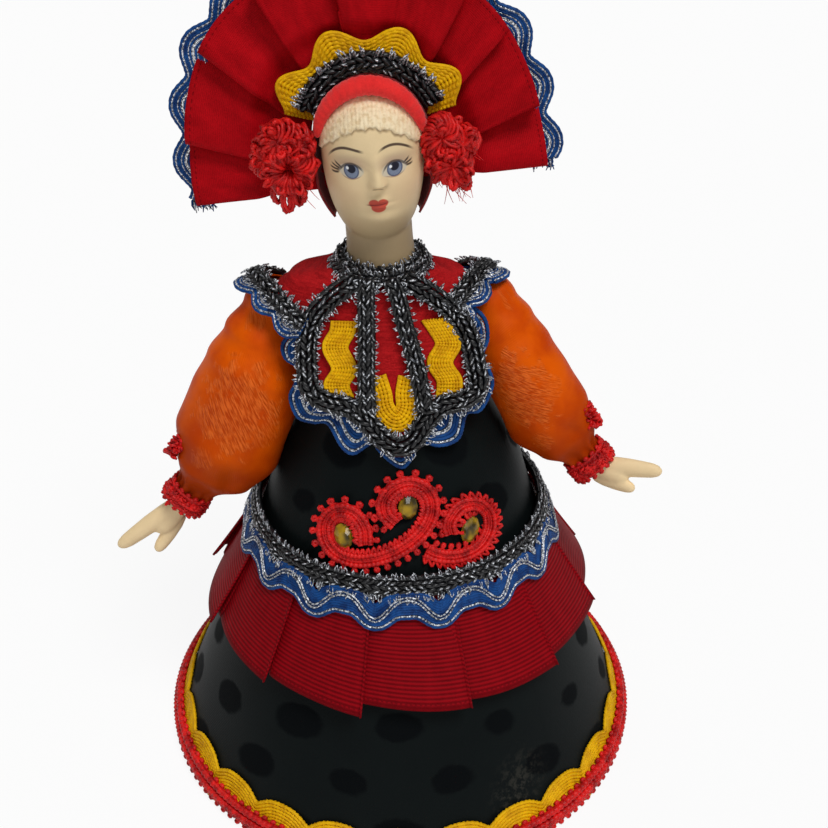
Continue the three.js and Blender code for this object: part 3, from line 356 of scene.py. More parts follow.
def black_satin(name):
    """Black satin with staggered rows of round matte dots, and a dusty scuff low on the front."""
    finish = Finish(name, Specular_IOR_Level=0.06)
    u, v, _ = finish.parts(finish.cut())
    across, down = (u - 0.5) * SATIN_WIDE, v * SATIN_LONG
    flat, row = finish.joined(across, down), down / DOT_DOWN
    stagger = (row.whole() * 0.5).fraction() * DOT_ACROSS
    x, y = ((across + stagger) / DOT_ACROSS).fraction() - 0.5, row.fraction() - 0.5
    ragged = finish.noise(flat, 2.4, 3.0) * 1.6 - 0.8
    uneven = finish.noise(flat, 30, 1.0).fade(0.35, 0.65) * 3 - 1
    dot = 1 - (((x * 22) ** 2 + (y * 17) ** 2).root() + ragged + uneven).fade(4.0, 5.6)
    weave = ((across + down) * 7.5).sine() * 0.5 + 0.5

    place = finish.place()
    cloud, grain = finish.noise(place, 14, 4.0), finish.noise(place, 0.5, 2.0)
    x, y, z = finish.parts(place)
    reach = ((x - 30) ** 2 / 60 + (z - 14) ** 2 / 110).root()
    dust = finish.noise(place, 1.8, 6.0, 0.7).fade(0.46, 0.62)
    scuff = (1 - reach.fade(0.1, 1.2)) * dust * (-y).fade(0, 5)
    colour = finish.mix(paint(9, 14, 15), paint(14, 20, 20), cloud)
    colour = finish.mix(colour, paint(3, 4, 7), dot * 0.65)
    colour = finish.mix(colour, paint(110, 106, 96), scuff * 0.16)
    return finish.wear(Base_Color=colour, Roughness=0.46 + dot * 0.3 + grain * 0.12 + scuff * 0.3,
                       Relief=weave * 0.012 + grain * 0.03 - dot * 0.06)


def grosgrain(name, long, wide, pitch, contrast, deep, bright):
    """Ribbed ribbon. Its fine ribs run along its length, with painted shade in the grooves between them, and
    a stitched selvage at the foot.
    """
    finish = Finish(name, Specular_IOR_Level=0.05)
    u, v, _ = finish.parts(finish.cut())
    along, drop = u * long, v * wide
    rib = (drop * (TURN / pitch)).sine() * 0.5 + 0.5
    selvage = 1 - drop.fade(1.1, 1.4)
    stitch_row = 1 - abs(drop - 1.4).fade(0.1, 0.26)
    stitch = (along * (TURN / 1.1)).sine().fade(-0.2, 0.4) * stitch_row
    moire = finish.noise(finish.joined(along, drop * 0.35), 3.5, 3.0)
    fine = finish.noise(finish.place(), 0.35, 2.0)
    ribs = rib * (1 - selvage * 0.6)
    # Rib tone: lighter crests and darker grooves are painted shade; the moiré and grain are the ribbon's own
    shade = ribs * contrast + moire * (0.7 - contrast) + fine * 0.3
    colour = finish.mix(deep, bright, shade.fade(0.2, 0.8))
    colour = finish.mix(colour, paint(70, 2, 8), stitch * 0.45)
    return finish.wear(Base_Color=colour, Roughness=0.55 + fine * 0.2 - moire * 0.1,
                       Relief=ribs * (contrast * 0.2) - stitch * 0.06 + fine * 0.03)


# Flat size of a sleeve: round its fullest part, and from shoulder to cuff
SLEEVE_ROUND, SLEEVE_LONG = 84, 62


def orange_satin(name):
    """Fine twill with shiny woven motifs made of short slanted stitches that carry painted sheen, and painted
    shade that darkens it towards the cuff.
    """
    finish = Finish(name, Specular_IOR_Level=0.06)
    u, v, _ = finish.parts(finish.cut())
    along, around = v * SLEEVE_LONG, u * SLEEVE_ROUND
    flat = finish.joined(around, along)
    twill = ((around + along) * 9.5).sine() * 0.5 + 0.5
    petals = finish.noise(flat, 4.0, 4.0, 0.6)
    oval = (((around - 44) / 12) ** 2 + ((along - 29) / 15) ** 2).root()
    small = (1 - finish.cells(flat, 15, 0.5).fade(0.26, 0.34)) * petals.fade(0.4, 0.5)
    figure = (1 - (oval + petals * 2.4 - 1.2).fade(0.55, 0.95)).most(small * 0.6)
    slanted = finish.joined((around - along) * 0.25, (around + along) * 1.7)
    stitches = finish.noise(slanted, 1.0, 2.0).fade(0.36, 0.64)
    cloud = finish.noise(finish.place(), 11, 3.0)
    colour = finish.mix(paint(200, 66, 0), paint(228, 92, 0), cloud.fade(0.3, 0.7))
    # Painted shade: the lower sleeve darkens towards the cuff
    colour = finish.mix(colour, paint(150, 44, 0), along.fade(32, 58) * 0.85)
    # The woven motif: its stitches are lighter where they stand up and darker between, painted sheen and
    # shade on a real pattern
    colour = finish.mix(colour, finish.mix(paint(172, 56, 4), paint(244, 126, 52), stitches), figure * 0.5)
    return finish.wear(Base_Color=colour, Roughness=0.45 - figure * 0.15 + twill * 0.06,
                       Relief=twill * 0.02 + stitches * figure * 0.1)


def red_cloth(name):
    """Plain red cloth with a slubby crosswise grain."""
    finish = Finish(name, Specular_IOR_Level=0.1)
    x, y, z = finish.parts(finish.place())
    slub = finish.noise(finish.joined(x * 0.35, y * 0.35, z * 3), 1.2, 4.0, 0.65)
    weave = finish.noise(finish.joined(x * 2.4, y * 2.4, z * 2.4), 1.0, 2.0)
    colour = finish.mix(paint(144, 10, 16), paint(192, 28, 32), (weave * 0.4 + slub * 0.6).fade(0.3, 0.7))
    return finish.wear(Base_Color=colour, Roughness=0.75 + slub * 0.15, Relief=weave * 0.08 + slub * 0.12)


def red_felt(name):
    finish = Finish(name, Sheen_Weight=0.2, Sheen_Roughness=0.5)
    place = finish.place()
    fuzz, patch = finish.noise(place, 0.45, 4.0, 0.7), finish.noise(place, 4, 3.0)
    colour = finish.mix(paint(222, 18, 18), paint(246, 38, 34), (fuzz * 0.5 + patch * 0.5).fade(0.3, 0.7))
    return finish.wear(Base_Color=colour, Roughness=0.85 + fuzz * 0.1, Relief=fuzz * 0.12 + patch * 0.2)


def olive_glass(name):
    finish = Finish(name, Specular_IOR_Level=0.4, Coat_Weight=0.15, Coat_Roughness=0.2, IOR=1.52)
    depth = finish.noise(finish.place(), 2.6, 1.0)
    colour = finish.mix(paint(52, 42, 2), paint(168, 134, 6), depth.fade(0.3, 0.7))
    return finish.wear(Base_Color=colour, Roughness=0.3 + depth * 0.1)


def card(name):
    finish = Finish(name, Sheen_Weight=0.05)
    place = finish.place()
    flecks, cloud = finish.noise(place, 0.7, 5.0, 0.7), finish.noise(place, 8, 3.0)
    colour = finish.mix(paint(126, 100, 66), paint(176, 148, 106), flecks * 0.6 + cloud * 0.4)
    return finish.wear(Base_Color=colour, Roughness=0.85 + flecks * 0.1, Relief=flecks * 0.1)


def wood(name):
    """Its grain is drawn out upwards."""
    finish = Finish(name)
    x, y, z = finish.parts(finish.place())
    grain = finish.noise(finish.joined(x * 3, y * 3, z * 0.2), 1.0, 4.0)
    colour = finish.mix(paint(150, 104, 58), paint(206, 164, 108), grain)
    return finish.wear(Base_Color=colour, Roughness=0.6 + grain * 0.2, Relief=grain * 0.05)


def bare_skin(finish, place, deep, bright):
    mottle, pores = finish.noise(place, 3.2, 4.0), finish.noise(place, 0.35, 3.0)
    return finish.mix(deep, bright, mottle * 0.7 + pores * 0.3), mottle, pores


def bisque(name):
    finish = Finish(name, Specular_IOR_Level=0.35)
    skin, mottle, pores = bare_skin(finish, finish.place(), paint(236, 206, 158), paint(250, 224, 176))
    return finish.wear(Base_Color=skin, Roughness=0.5 + mottle * 0.12, Relief=pores * 0.02)


class Face:
    """The paint on the head's front. Places on it are x and z in the head's own frame, in millimetres."""

    def __init__(self, finish, place, colour):
        self.finish, self.colour = finish, colour
        x, self.y, z = finish.parts(place)
        c, s = math.cos(math.radians(HEAD_TILT)), math.sin(math.radians(HEAD_TILT))
        x, z = x - NECK_X, z - NECK_FOOT
        self.x, self.z = x * c + z * s, z * c - x * s
        self.front = 1 - self.y.fade(-3, -1)

    def dab(self, tint, mask):
        self.colour = self.finish.mix(self.colour, tint, (mask * self.front).least(1.0))

    def spot(self, x, z, wide, high, soft=0.12):
        """An oval dab, 1 inside."""
        away = (((self.x - x) / wide) ** 2 + ((self.z - z) / high) ** 2).root()
        return 1 - away.fade(1 - soft, 1 + soft)

    def stroke(self, points, thick, ends=0.5):
        """A brush stroke through [x, z] points, thinning towards its ends."""
        px, pz = np.array(points).T
        terms = np.polyfit(px, pz, min(3, len(points) - 1))
        line = self.x * float(terms[0]) + float(terms[1])
        for term in terms[2:]:
            line = line * self.x + float(term)
        slope = np.abs(np.polyval(np.polyder(terms), px)).mean()
        first, last = float(min(px)), float(max(px))
        inside = self.x.fade(first - 0.1, first + ends) * (1 - self.x.fade(last - ends, last + 0.1))
        half = thick / 2 * math.hypot(1, slope)
        return (1 - abs(self.z - line).fade(half * 0.6, half * 1.5)) * inside


# Brush strokes of the face: upper lids, lashes and brows
EYES = ((-4.35, 26.95), (4.95, 26.95))
LIDS = ([(-7.2, 26.3), (-6.0, 27.8), (-4.4, 28.4), (-2.8, 28.0), (-1.6, 26.8)],
        [(2.3, 26.6), (3.4, 27.9), (4.9, 28.5), (6.4, 28.0), (7.6, 26.8)])
LASHES = ([(-6.9, 26.3), (-7.9, 25.9), (-8.9, 26.0)], [(-6.8, 26.7), (-7.9, 26.6), (-9.1, 26.9)],
          [(-6.6, 27.0), (-7.6, 27.2), (-8.7, 27.8)], [(-6.3, 27.2), (-7.1, 27.7), (-8.0, 28.5)],
          [(7.2, 26.9), (8.0, 26.7), (8.9, 26.9)], [(7.0, 27.2), (7.9, 27.3), (8.8, 27.8)],
          [(6.8, 27.5), (7.5, 27.9), (8.2, 28.5)])
BROWS = ([(-9.6, 28.5), (-8.4, 30.3), (-6.8, 31.4), (-4.2, 31.8), (-1.1, 31.2)],
         [(1.5, 31.0), (3.2, 32.0), (5.5, 32.0), (7.6, 31.1), (9.4, 29.3)])


def paint_eye(face, x, z):
    """Warm grey shade over the lid, white, iris with its rim, pupil, glint, and a fine line under the eye."""
    face.dab(paint(142, 108, 100), face.spot(x, z + 1.5, 3.1, 1.5, 0.8) * 0.6)
    over_lid = face.z - (z + 1.4)
    face.dab(paint(212, 200, 176), face.spot(x, z - 0.1, 2.7, 1.65, 0.08) * (1 - over_lid.fade(-0.1, 0.15)))
    lidded = 1 - over_lid.fade(-0.1, 0.1)
    iris = face.spot(x + 0.05, z - 0.1, 1.65, 1.75, 0.08)
    rays = face.finish.noise(face.finish.joined(face.x, face.z), 0.4, 2.0)
    face.dab(face.finish.mix(paint(92, 106, 134), paint(140, 150, 168), rays), iris * lidded)
    rim = iris * (1 - face.spot(x + 0.05, z - 0.1, 1.4, 1.5, 0.1)) * lidded
    face.dab(paint(58, 66, 96), rim * 0.85)
    face.dab(paint(8, 10, 34), face.spot(x + 0.05, z + 0.4, 0.95, 0.95, 0.12) * lidded)
    face.dab(paint(236, 238, 240), face.spot(x - 0.8, z + 0.5, 0.3, 0.34, 0.3))
    under = [(x - 2.3, z - 1.0), (x, z - 1.9), (x + 2.3, z - 0.9)]
    face.dab(paint(150, 104, 92), face.stroke(under, 0.22, 0.9) * 0.6)


def paint_mouth(face, mottle):
    """Nostril shade, then two upper lobes, a full lower lip, thin corners and the line between the lips."""
    face.dab(paint(96, 66, 44), face.stroke([(-0.2, 22.7), (1.2, 22.95), (2.5, 22.7)], 0.5, 0.7) * 0.75)
    lips = face.spot(0.1, 19.4, 1.2, 0.95).most(face.spot(1.95, 19.4, 1.2, 0.95))
    lips = lips.most(face.spot(1.0, 18.4, 1.6, 1.3, 0.1))
    lips = lips.most(face.stroke([(-1.5, 19.1), (1.0, 19.3), (3.4, 19.3)], 0.4, 0.9))
    face.dab(face.finish.mix(paint(176, 44, 30), paint(206, 66, 48), mottle), lips * 0.95)
    face.dab(paint(120, 22, 20), face.stroke([(-1.8, 19.0), (1.0, 19.0), (3.2, 19.2)], 0.24, 0.9) * 0.8)
    return lips


def painted_bisque(name):
    """The head: bare bisque with painted shade down the chin and neck, painted eyes, brows and mouth, and
    cream hair with painted shade at its hollows and edge.
    """
    finish = Finish(name, Specular_IOR_Level=0.35)
    place = finish.place()
    skin, mottle, pores = bare_skin(finish, place, paint(224, 198, 152), paint(240, 214, 168))
    face = Face(finish, place, skin)
    # Painted shade: the skin darkens from the cheeks down over the chin and neck
    face.colour = finish.mix(skin, paint(112, 90, 62), (1 - face.z.fade(5, 24)) * 0.68)
    blush = face.spot(-6.6, 21.5, 4.2, 3.4, 0.9) + face.spot(7.6, 21.5, 4.0, 3.4, 0.9)
    face.dab(paint(216, 160, 124), blush * 0.2)
    for x, z in EYES:
        paint_eye(face, x, z)
    brown = paint(50, 24, 22)
    strokes = ((LIDS, paint(34, 20, 28), 0.5, 0.8, 0.8), (LASHES, brown, 0.42, 0.5, 0.92),
               (BROWS, brown, 0.46, 1.6, 0.92))
    for lines, tint, thick, ends, strength in strokes:
        for line in lines:
            face.dab(tint, face.stroke(line, thick, ends) * strength)
    lips = paint_mouth(face, mottle)

    # Hair above the scalloped hairline, its cream darker where the curls sink: painted shade in their hollows
    over = face.z - hairline(face.x, Number.sine)
    hair = over.fade(-0.15, 0.15).most(face.y.fade(-2, 0) * face.z.fade(13, 15))
    curls = finish.noise(place, 1.1, 3.0)
    cream = finish.mix(paint(226, 198, 152), paint(246, 226, 188), curls.fade(0.3, 0.6))
    colour = finish.mix(face.colour, cream, hair)
    # Painted shade: a patchy brown band along the hairline, at the hair's raised edge
    edge = (1 - abs(over + 0.1).fade(0.1, 0.65)) * face.front * finish.noise(place, 1.8, 2.0).fade(0.3, 0.55)
    colour = finish.mix(colour, paint(150, 116, 78), edge * 0.5)
    return finish.wear(Base_Color=colour, Roughness=0.46 + mottle * 0.14 - lips * 0.1,
                       Relief=pores * 0.02 + curls * hair * 0.25)


# Blender adds a number to a name that a material of the solids has already, and it is left out here
FINISHES = {made.name.split(".")[0]: made for made in (
    thread("red gimp", paint(142, 4, 8), paint(226, 30, 28), 0.36, Specular_IOR_Level=0.25),
    thread("yellow cord", paint(206, 148, 0), paint(238, 184, 2), 0.5, Specular_IOR_Level=0.15),
    thread("blue thread", paint(4, 36, 88), paint(16, 74, 140), 0.5, Specular_IOR_Level=0.2),
    thread("black thread", paint(3, 3, 4), paint(24, 24, 27), 0.24),
    thread("silver thread", paint(66, 70, 80), paint(236, 240, 246), 0.2, 0.45, patchy=False, Metallic=0.4),
    grosgrain("peplum grosgrain", 470.4, 28.5, 1.02, 0.4, paint(100, 2, 10), paint(152, 8, 20)),
    grosgrain("fan grosgrain", 164.8, 37, 0.5, 0.12, paint(136, 2, 10), paint(192, 10, 22)),
    black_satin("black satin"),
    orange_satin("orange satin"),
    red_cloth("red cloth"),
    red_felt("red felt"),
    olive_glass("olive glass"),
    card("card"),
    wood("wood"),
    bisque("bisque"),
    painted_bisque("painted bisque"),
    plain("dark red cloth", paint(104, 6, 14), paint(148, 14, 22), (0.9, 4.0), (0.75, 0.1), 0.12,
          Sheen_Weight=0.1),
    plain("steel wire", paint(120, 122, 126), paint(190, 192, 196), (0.6, 4.0), (0.28, 0.2), 0.02,
          Metallic=0.9),
    plain("stuffing", paint(200, 194, 180), paint(240, 236, 226), (1.6, 5.0, 0.7), (0.9, 0.05), 0.5,
          Sheen_Weight=0.3),
)}


# Making pieces
def settle(shape, name, finishes):
    """Writes a shape, in millimetres, to a mesh object at the origin."""
    bmesh.ops.scale(shape, vec=(MM, MM, MM), verts=shape.verts)
    for face in shape.faces:
        face.smooth = True
    mesh = bpy.data.meshes.new(name)
    shape.to_mesh(mesh)
    shape.free()
    for finish in finishes:
        mesh.materials.append(FINISHES[finish])
    piece = bpy.data.objects.new(name, mesh)
    bpy.context.scene.collection.objects.link(piece)
    return piece


def fit(piece, body, node):
    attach(piece, body)
    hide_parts(node)


def sheet(name, finish, columns, rows, place, cut=None, wrap=False, thick=0.0, caps=False):
    """A grid moved by place(u, v), each 0 to 1. cut(u, v) gives its flat coordinates, if not u and v."""
    shape = bmesh.new()
    flat = shape.loops.layers.uv.new("cut")
    bmesh.ops.create_grid(shape, x_segments=columns, y_segments=rows, size=0.5)
    verts = list(shape.verts)
    corners = np.array([vert.co for vert in verts])
    u, v = corners[:, 0] + 0.5, corners[:, 1] + 0.5
    points = place(u, v)
    cut_u, cut_v = cut(u, v) if cut else (u, v)
    for face in shape.faces:
        for loop in face.loops:
            index = loop.vert.index
            loop[flat].uv = (cut_u[index], cut_v[index])
    for vert, point in zip(verts, points):
        vert.co = point
    if wrap:
        edges = [vert for vert, share in zip(verts, u) if share < 1e-6 or share > 1 - 1e-6]
        bmesh.ops.remove_doubles(shape, verts=edges, dist=1e-4)
    if caps:
        bmesh.ops.remove_doubles(shape, verts=shape.verts, dist=1e-4)
        bmesh.ops.holes_fill(shape, edges=[edge for edge in shape.edges if edge.is_boundary], sides=0)
        bmesh.ops.recalc_face_normals(shape, faces=shape.faces)
    piece = settle(shape, name, [finish])
    if thick:
        solid = piece.modifiers.new("cloth", "SOLIDIFY")
        solid.thickness, solid.offset = thick * MM, -1
    return piece


class Trim:
    """A trim made of cords. Each cord is a line of places with its radius, in millimetres."""

    def __init__(self, name):
        self.name, self.groups = name, {}

    def cord(self, finish, points, radius, closed=False, sides=6):
        radius = np.broadcast_to(np.asarray(radius, float), (len(points),))
        self.groups.setdefault((finish, sides), []).append((points, radius, closed))

    def made(self):
        shape = bmesh.new()
        finishes = sorted({finish for finish, _ in self.groups})
        for (finish, sides), lines in self.groups.items():
            curve = bpy.data.curves.new(self.name, "CURVE")
            curve.dimensions = "3D"
            curve.bevel_depth = 1
            curve.bevel_resolution = sides // 2 - 2
            curve.use_fill_caps = True
            for points, radius, closed in lines:
                line = curve.splines.new("POLY")
                line.points.add(len(points) - 1)
                line.points.foreach_set("co", np.c_[points, np.ones(len(points))].ravel())
                line.points.foreach_set("radius", np.ascontiguousarray(radius))
                line.use_cyclic_u = closed
            holder = bpy.data.objects.new(self.name, curve)
            mesh = bpy.data.meshes.new_from_object(holder)
            mesh.polygons.foreach_set("material_index", [finishes.index(finish)] * len(mesh.polygons))
            shape.from_mesh(mesh)
            bpy.data.objects.remove(holder)
            bpy.data.curves.remove(curve)
            bpy.data.meshes.remove(mesh)
        for layer in list(shape.loops.layers.uv.values()):
            shape.loops.layers.uv.remove(layer)
        bmesh.ops.remove_doubles(shape, verts=shape.verts, dist=1e-5)
        return settle(shape, self.name, finishes)


def ribbed(along, radius, pitch=0.9, depth=0.16):
    return radius * (1 + depth * np.cos(TURN * along / pitch))


def plait(trim, track, width, height, lift=0.0, rows=4, silver=0.4):
    """Rows of short glossy stitches on a dark bed, slanting to and fro, some with a silver dash on top."""
    bed, grain = track.samples(1.0), 1.75
    spacing = (width - 0.9) / max(rows - 1, 1)
    fat = min(0.56, spacing * 0.56)
    reach = np.array([-0.64, -0.4, 0, 0.4, 0.64]) * grain
    swell = np.array([0.3, 0.85, 1, 0.85, 0.3])
    count = int(round(track.length / grain))
    for row in range(rows):
        across = (row - (rows - 1) / 2) * spacing
        crown = lift + height * (0.32 + 0.3 * (1 - (2 * across / width) ** 2))
        trim.cord("black thread", track.at(bed, across, lift + height * 0.3), height * 0.3, track.closed, 4)
        jitter = np.array([chance.uniform(-0.25, 0.25) for _ in range(2 * count)])
        middle = (np.arange(count) + 0.5 * (row % 2) + jitter[:count]) * track.length / count
        slant = 0.42 * (1 if row % 2 else -1) + jitter[count:] * 1.3
        aside = across + reach * slant[:, None]
        inner = aside[:, 1:4]
        stitches = track.at(middle[:, None] + reach, aside, crown + fat * 0.45 * (swell - 1) + 0 * aside)
        dashes = track.at(middle[:, None] + reach[1:4] * 0.8, inner, crown + fat * 0.8 + 0 * inner)
        for stitch, dash in zip(stitches, dashes):
            trim.cord("black thread", stitch, swell * fat, sides=6)
            if chance.random() < silver:
                trim.cord("silver thread", dash, [0.12, 0.27, 0.12], sides=4)


def eyelash(trim, track, edges, reach=1.3, spacing=1.7, lift=1.0, thick=0.15):
    """Curled ends and hairpins of silver thread that stand out along the edges of a braid."""
    for edge in edges:
        side = 1 if edge > 0 else -1
        for place in np.arange(0, track.length, spacing):
            place += chance.uniform(-0.4, 0.4) * spacing
            out = reach * chance.uniform(0.45, 1.25)
            drift = chance.uniform(-0.7, 0.7)
            rise = chance.uniform(-0.3, 0.7)
            wide = chance.uniform(0.15, 0.45)
            along = place + np.array([-wide, -wide * 0.7, 0, wide, wide * 1.2])
            along = along + drift * np.array([0, 0.5, 1, 0.6, 0])
            across = edge + side * out * np.array([-0.4, 0.55, 1, 0.6, -0.35])
            up = lift + np.array([0, 0.5, 0.4, 0.5, 0]) * (0.6 + rise)
            radius = thick * np.array([0.8, 1, 1.3, 1, 0.7])
            trim.cord("silver thread", track.at(along, across, up), radius, sides=4)


def ricrac(trim, track, cords, middle, wave, pitch, phase=0.0, lift=0.3, sharp=0.0):
    """Parallel cords that swing from side to side together. Sharp tips reach further than the hollows."""
    along = track.samples(0.4)
    turn = TURN * (along / pitch + phase)
    swing = middle + wave * (np.cos(turn) + sharp * np.cos(2 * turn))
    slope = -wave * TURN / pitch * (np.sin(turn) + 2 * sharp * np.sin(2 * turn))
    for aside, radius, finish in cords:
        # On a slope a cord lies partly ahead of its neighbour, which keeps their spacing nearly even
        shift = aside * slope / (1 + slope ** 2) * 0.55
        trim.cord(finish, track.at(along - shift, swing + aside, lift + cord_height(finish, radius)),
                  beaded(finish, along, radius), track.closed)


def cord_height(finish, radius):
    """Silver lines lie in the grooves between the thicker cords."""
    return 0.7 if finish == "silver thread" else radius


def beaded(finish, along, radius):
    pitch, depth = {"yellow cord": (0.95, 0.24), "silver thread": (0.9, 0.32)}.get(finish, (1.3, 0.12))
    return ribbed(along, radius, pitch, depth)


def blue_cords(width):
    """Woven blue cords with a smooth blue edge, a silver line inside it and a double one in the middle."""
    half = width / 2
    rows = [(share, half * 0.17, "blue thread") for share in (0.22, 0.5, 0.7, 0.98)]
    silver = [(0.08, 0.19, "silver thread"), (0.37, 0.17, "silver thread"), (0.84, 0.24, "silver thread")]
    return [(side * half * share, radius, finish) for cords in (rows, silver) for side in (-1, 1)
            for share, radius, finish in cords]


def yellow_cords(width, count):
    spacing = width / count
    return [((index - (count - 1) / 2) * spacing, spacing * 0.56, "yellow cord") for index in range(count)]


def gimp(trim, track, width, lift=0.3, picots=(1,), picot=1.6, gap=2.3, inner=0.0):
    """Smooth middle cords between twisted ones, looped picots along the edges, short slanted loops inside."""
    along = track.samples(0.24)
    radius, edge = width * 0.16, width / 2 - 0.3
    if track.closed:
        gap = track.length / round(track.length / gap)
    for share in (-1, -0.26, 0.26, 1):
        # The outer cords are thicker, stand higher and are twisted more
        height, thick, depth = (1.4, 1.15, 0.2) if abs(share) == 1 else (0.8, 0.75, 0.1)
        trim.cord("red gimp", track.at(along, share * (width / 2 - radius), lift + radius * height),
                  ribbed(along, radius * thick, 1.0, depth), track.closed, 8)
    for side in picots:
        turn = TURN * along / gap
        out = 0.5 - 0.5 * np.cos(turn)
        swing = along + 0.42 * gap * np.sin(turn) * out ** 0.3
        points = track.at(swing, side * (edge + picot * out), lift + radius * (1 + 0.4 * out))
        trim.cord("red gimp", points, 0.3 + 0.22 * out, track.closed)
    if inner:
        out = 0.5 - 0.5 * np.cos(TURN * along / 1.5)
        across = -picots[0] * (edge + inner * out)
        points = track.at(along + 0.5 * out, across, lift + radius * (1.2 + 0.5 * out))
        trim.cord("red gimp", points, 0.4, track.closed)


# Skirt and waist
FLAT_SINE = SLOPE / math.hypot(1, SLOPE)


def skirt_cut(angle, height):
    """Where a place of the skirt lay in the flat cloth, which is rolled into the cone."""
    radius, flat = skirt_radius(height) / FLAT_SINE, angle * FLAT_SINE
    return radius * np.sin(flat) / SATIN_WIDE + 0.5, radius * np.cos(flat) / SATIN_LONG


def make_skirt():
    def spread(u, v):
        return (u - 0.5) * TURN, between(0.3, SATIN_TOP, v)

    def place(u, v):
        angle, height = spread(u, v)
        pucker = 0.12 * np.sin(angle * 9 + height * 0.06) * ease(height, 40, 10)
        blouse = 1.7 * ease(np.abs(angle), 0.8, 1.35) * hump(height - 88, 9)
        return on_cone(angle, height, pucker - 0.12 + blouse)
    satin = sheet("skirt_satin", "black satin", 220, 70, place, cut=lambda u, v: skirt_cut(*spread(u, v)),
                  wrap=True, thick=0.35)
    fit(satin, "root", "skirt_fabric")


def make_hem():
    """Yellow ric-rac above, and red gimp with picots along both edges and two cords over its middle."""
    hem = Trim("hem_yellow_ricrac")
    track = ring_track(0.3, -0.05)
    ricrac(hem, track, yellow_cords(9.0, 10), 5.4, 1.6, track.length / 24, lift=0.0, sharp=-0.16)
    fit(hem.made(), "root", "hem_ricrac")

    edge = Trim("hem_gimp")
    track = ring_track(3.5, 1.0)
    gimp(edge, track, 4.4, lift=-0.4, picots=(-1, 1), picot=1.1, gap=2.7)
    along = track.samples(0.4)
    for across, lift, shift in ((1.5, 0.9, 0.0), (-0.4, 1.1, 0.7)):
        edge.cord("red gimp", track.at(along, across, lift), ribbed(along + shift, 0.95, 1.5, 0.16), True)
    fit(edge.made(), "root", "hem_braid")


PLEATS, PLEAT_START, PEPLUM_FOOT = 12, -70, 43.5

# Each knife pleat runs out to its edge, then back underneath and forward again as the next one: share of its
# ribbon, how far round it lies, how far it stands out
PLEAT_FOLDS = [(0, 0, 0.0), (0.62, 1, 0.9), (0.66, 1.0, 1.0), (0.7, 0.99, 0.66), (0.84, 0.84, 0.3),
               (0.88, 0.84, 0.1), (1, 1, 0.0)]


def make_peplum():
    shares, turns, rises = np.array(PLEAT_FOLDS).T

    def place(u, v):
        pleat = np.minimum(np.floor(u * PLEATS + 1e-9), PLEATS - 1)
        share = u * PLEATS - pleat
        turn, rise = np.interp(share, shares, turns), np.interp(share, shares, rises)
        angle = np.radians(PLEAT_START + (pleat + turn) * 360 / PLEATS)
        height = between(PEPLUM_FOOT, TRIM_TOP + 1, v)
        fall = np.clip((TRIM_TOP - height) / (TRIM_TOP - PEPLUM_FOOT), 0, 1)
        ripple = 0.22 * np.sin(turn * 5 + pleat * 2.1) * fall
        flare = 3.2 * fall ** 1.4 + rise * 2.5 * (0.2 + 0.8 * fall) + ripple
        drop = fall * (0.9 * rise + 0.35 * np.sin(pleat * 2.3))
        return on_cone(angle, height - drop, 0.9 + flare)
    ribbon = sheet("peplum_grosgrain", "peplum grosgrain", PLEATS * 50, 30, place, wrap=True, thick=0.3)
    fit(ribbon, "root", "peplum_ribbon")


def make_waist():
    edging = Trim("waist_blue_ricrac")
    track = ring_track(TRIM_TOP - 2.6, 2.7)
    pitch, phase = track.length / 16, 0.35
    rows = [(-3.1, 0.42, "blue thread"), (-2.55, 0.24, "silver thread")]
    rows += [(-2.0 + 0.62 * index, 0.42, "blue thread") for index in range(9)]
    ricrac(edging, track, rows, 0.5, -1.5, pitch, phase, lift=-0.1, sharp=0.27)
    for aside in (-0.5, 0.3):
        ricrac(edging, track, [(aside, 0.22, "silver thread")], 1.2, -2.7, pitch, phase, lift=0.2, sharp=0.14)
    fit(edging.made(), "root", "waist_ricrac")

    braid = Trim("waist_silver_braid")
    track = ring_track(TRIM_TOP + 2.6, 1.4)
    plait(braid, track, 5.2, 2.6, rows=5, silver=0.45)
    eyelash(braid, track, (2.3,), 1.4, 1.6, 1.3)
    eyelash(braid, track, (-2.4, -2.0), 1.6, 1.9, 1.6)
    fit(braid.made(), "root", "waist_braid")


# Places along each scroll of the belt, across from the middle and up from the waist
SCROLLS = {
    "belt_scroll_long": [
        (-7.6, 6.7), (-8, 10.5), (-10.6, 13.3), (-14.2, 13.1), (-17.2, 9.9), (-17.6, 6.1), (-15.4, 3.5),
        (-11, 2.7), (-5.6, 3.7), (0.4, 6.1), (5.4, 9.5), (8, 13.6), (7.8, 17.4), (5.6, 20.2), (2.4, 21.2),
        (-1, 20), (-3.2, 17.2), (-3, 14.2), (-0.6, 12)],
    "belt_scroll_short": [
        (6.6, 5.7), (9.8, 3.9), (14.6, 2.7), (19.4, 3.1), (22, 5.7), (21.6, 9.5), (18.6, 12.9),
        (14.8, 13.5), (12.2, 10.9), (12.6, 8.1)],
}


def make_belt():
    for (name, pairs), outward in zip(SCROLLS.items(), (-1, 1)):
        scroll = Trim(name.replace("belt", "red"))
        track = track_on(on_belt, pairs, 240)
        gimp(scroll, track, 3.4, lift=0.3, picots=(outward,), picot=1.7, gap=2.35, inner=1.5)
        fit(scroll.made(), "root", name)


# Body and bib
TORSO_WIDTHS = [(108, 19.9), (113, 17.3), (119, 16.2), (125, 18.5), (131, 24.8), (135, 20.8), (137, 13.8),
                (138, 9.2)]
YOKE_FOOT = SATIN_TOP + 0.3


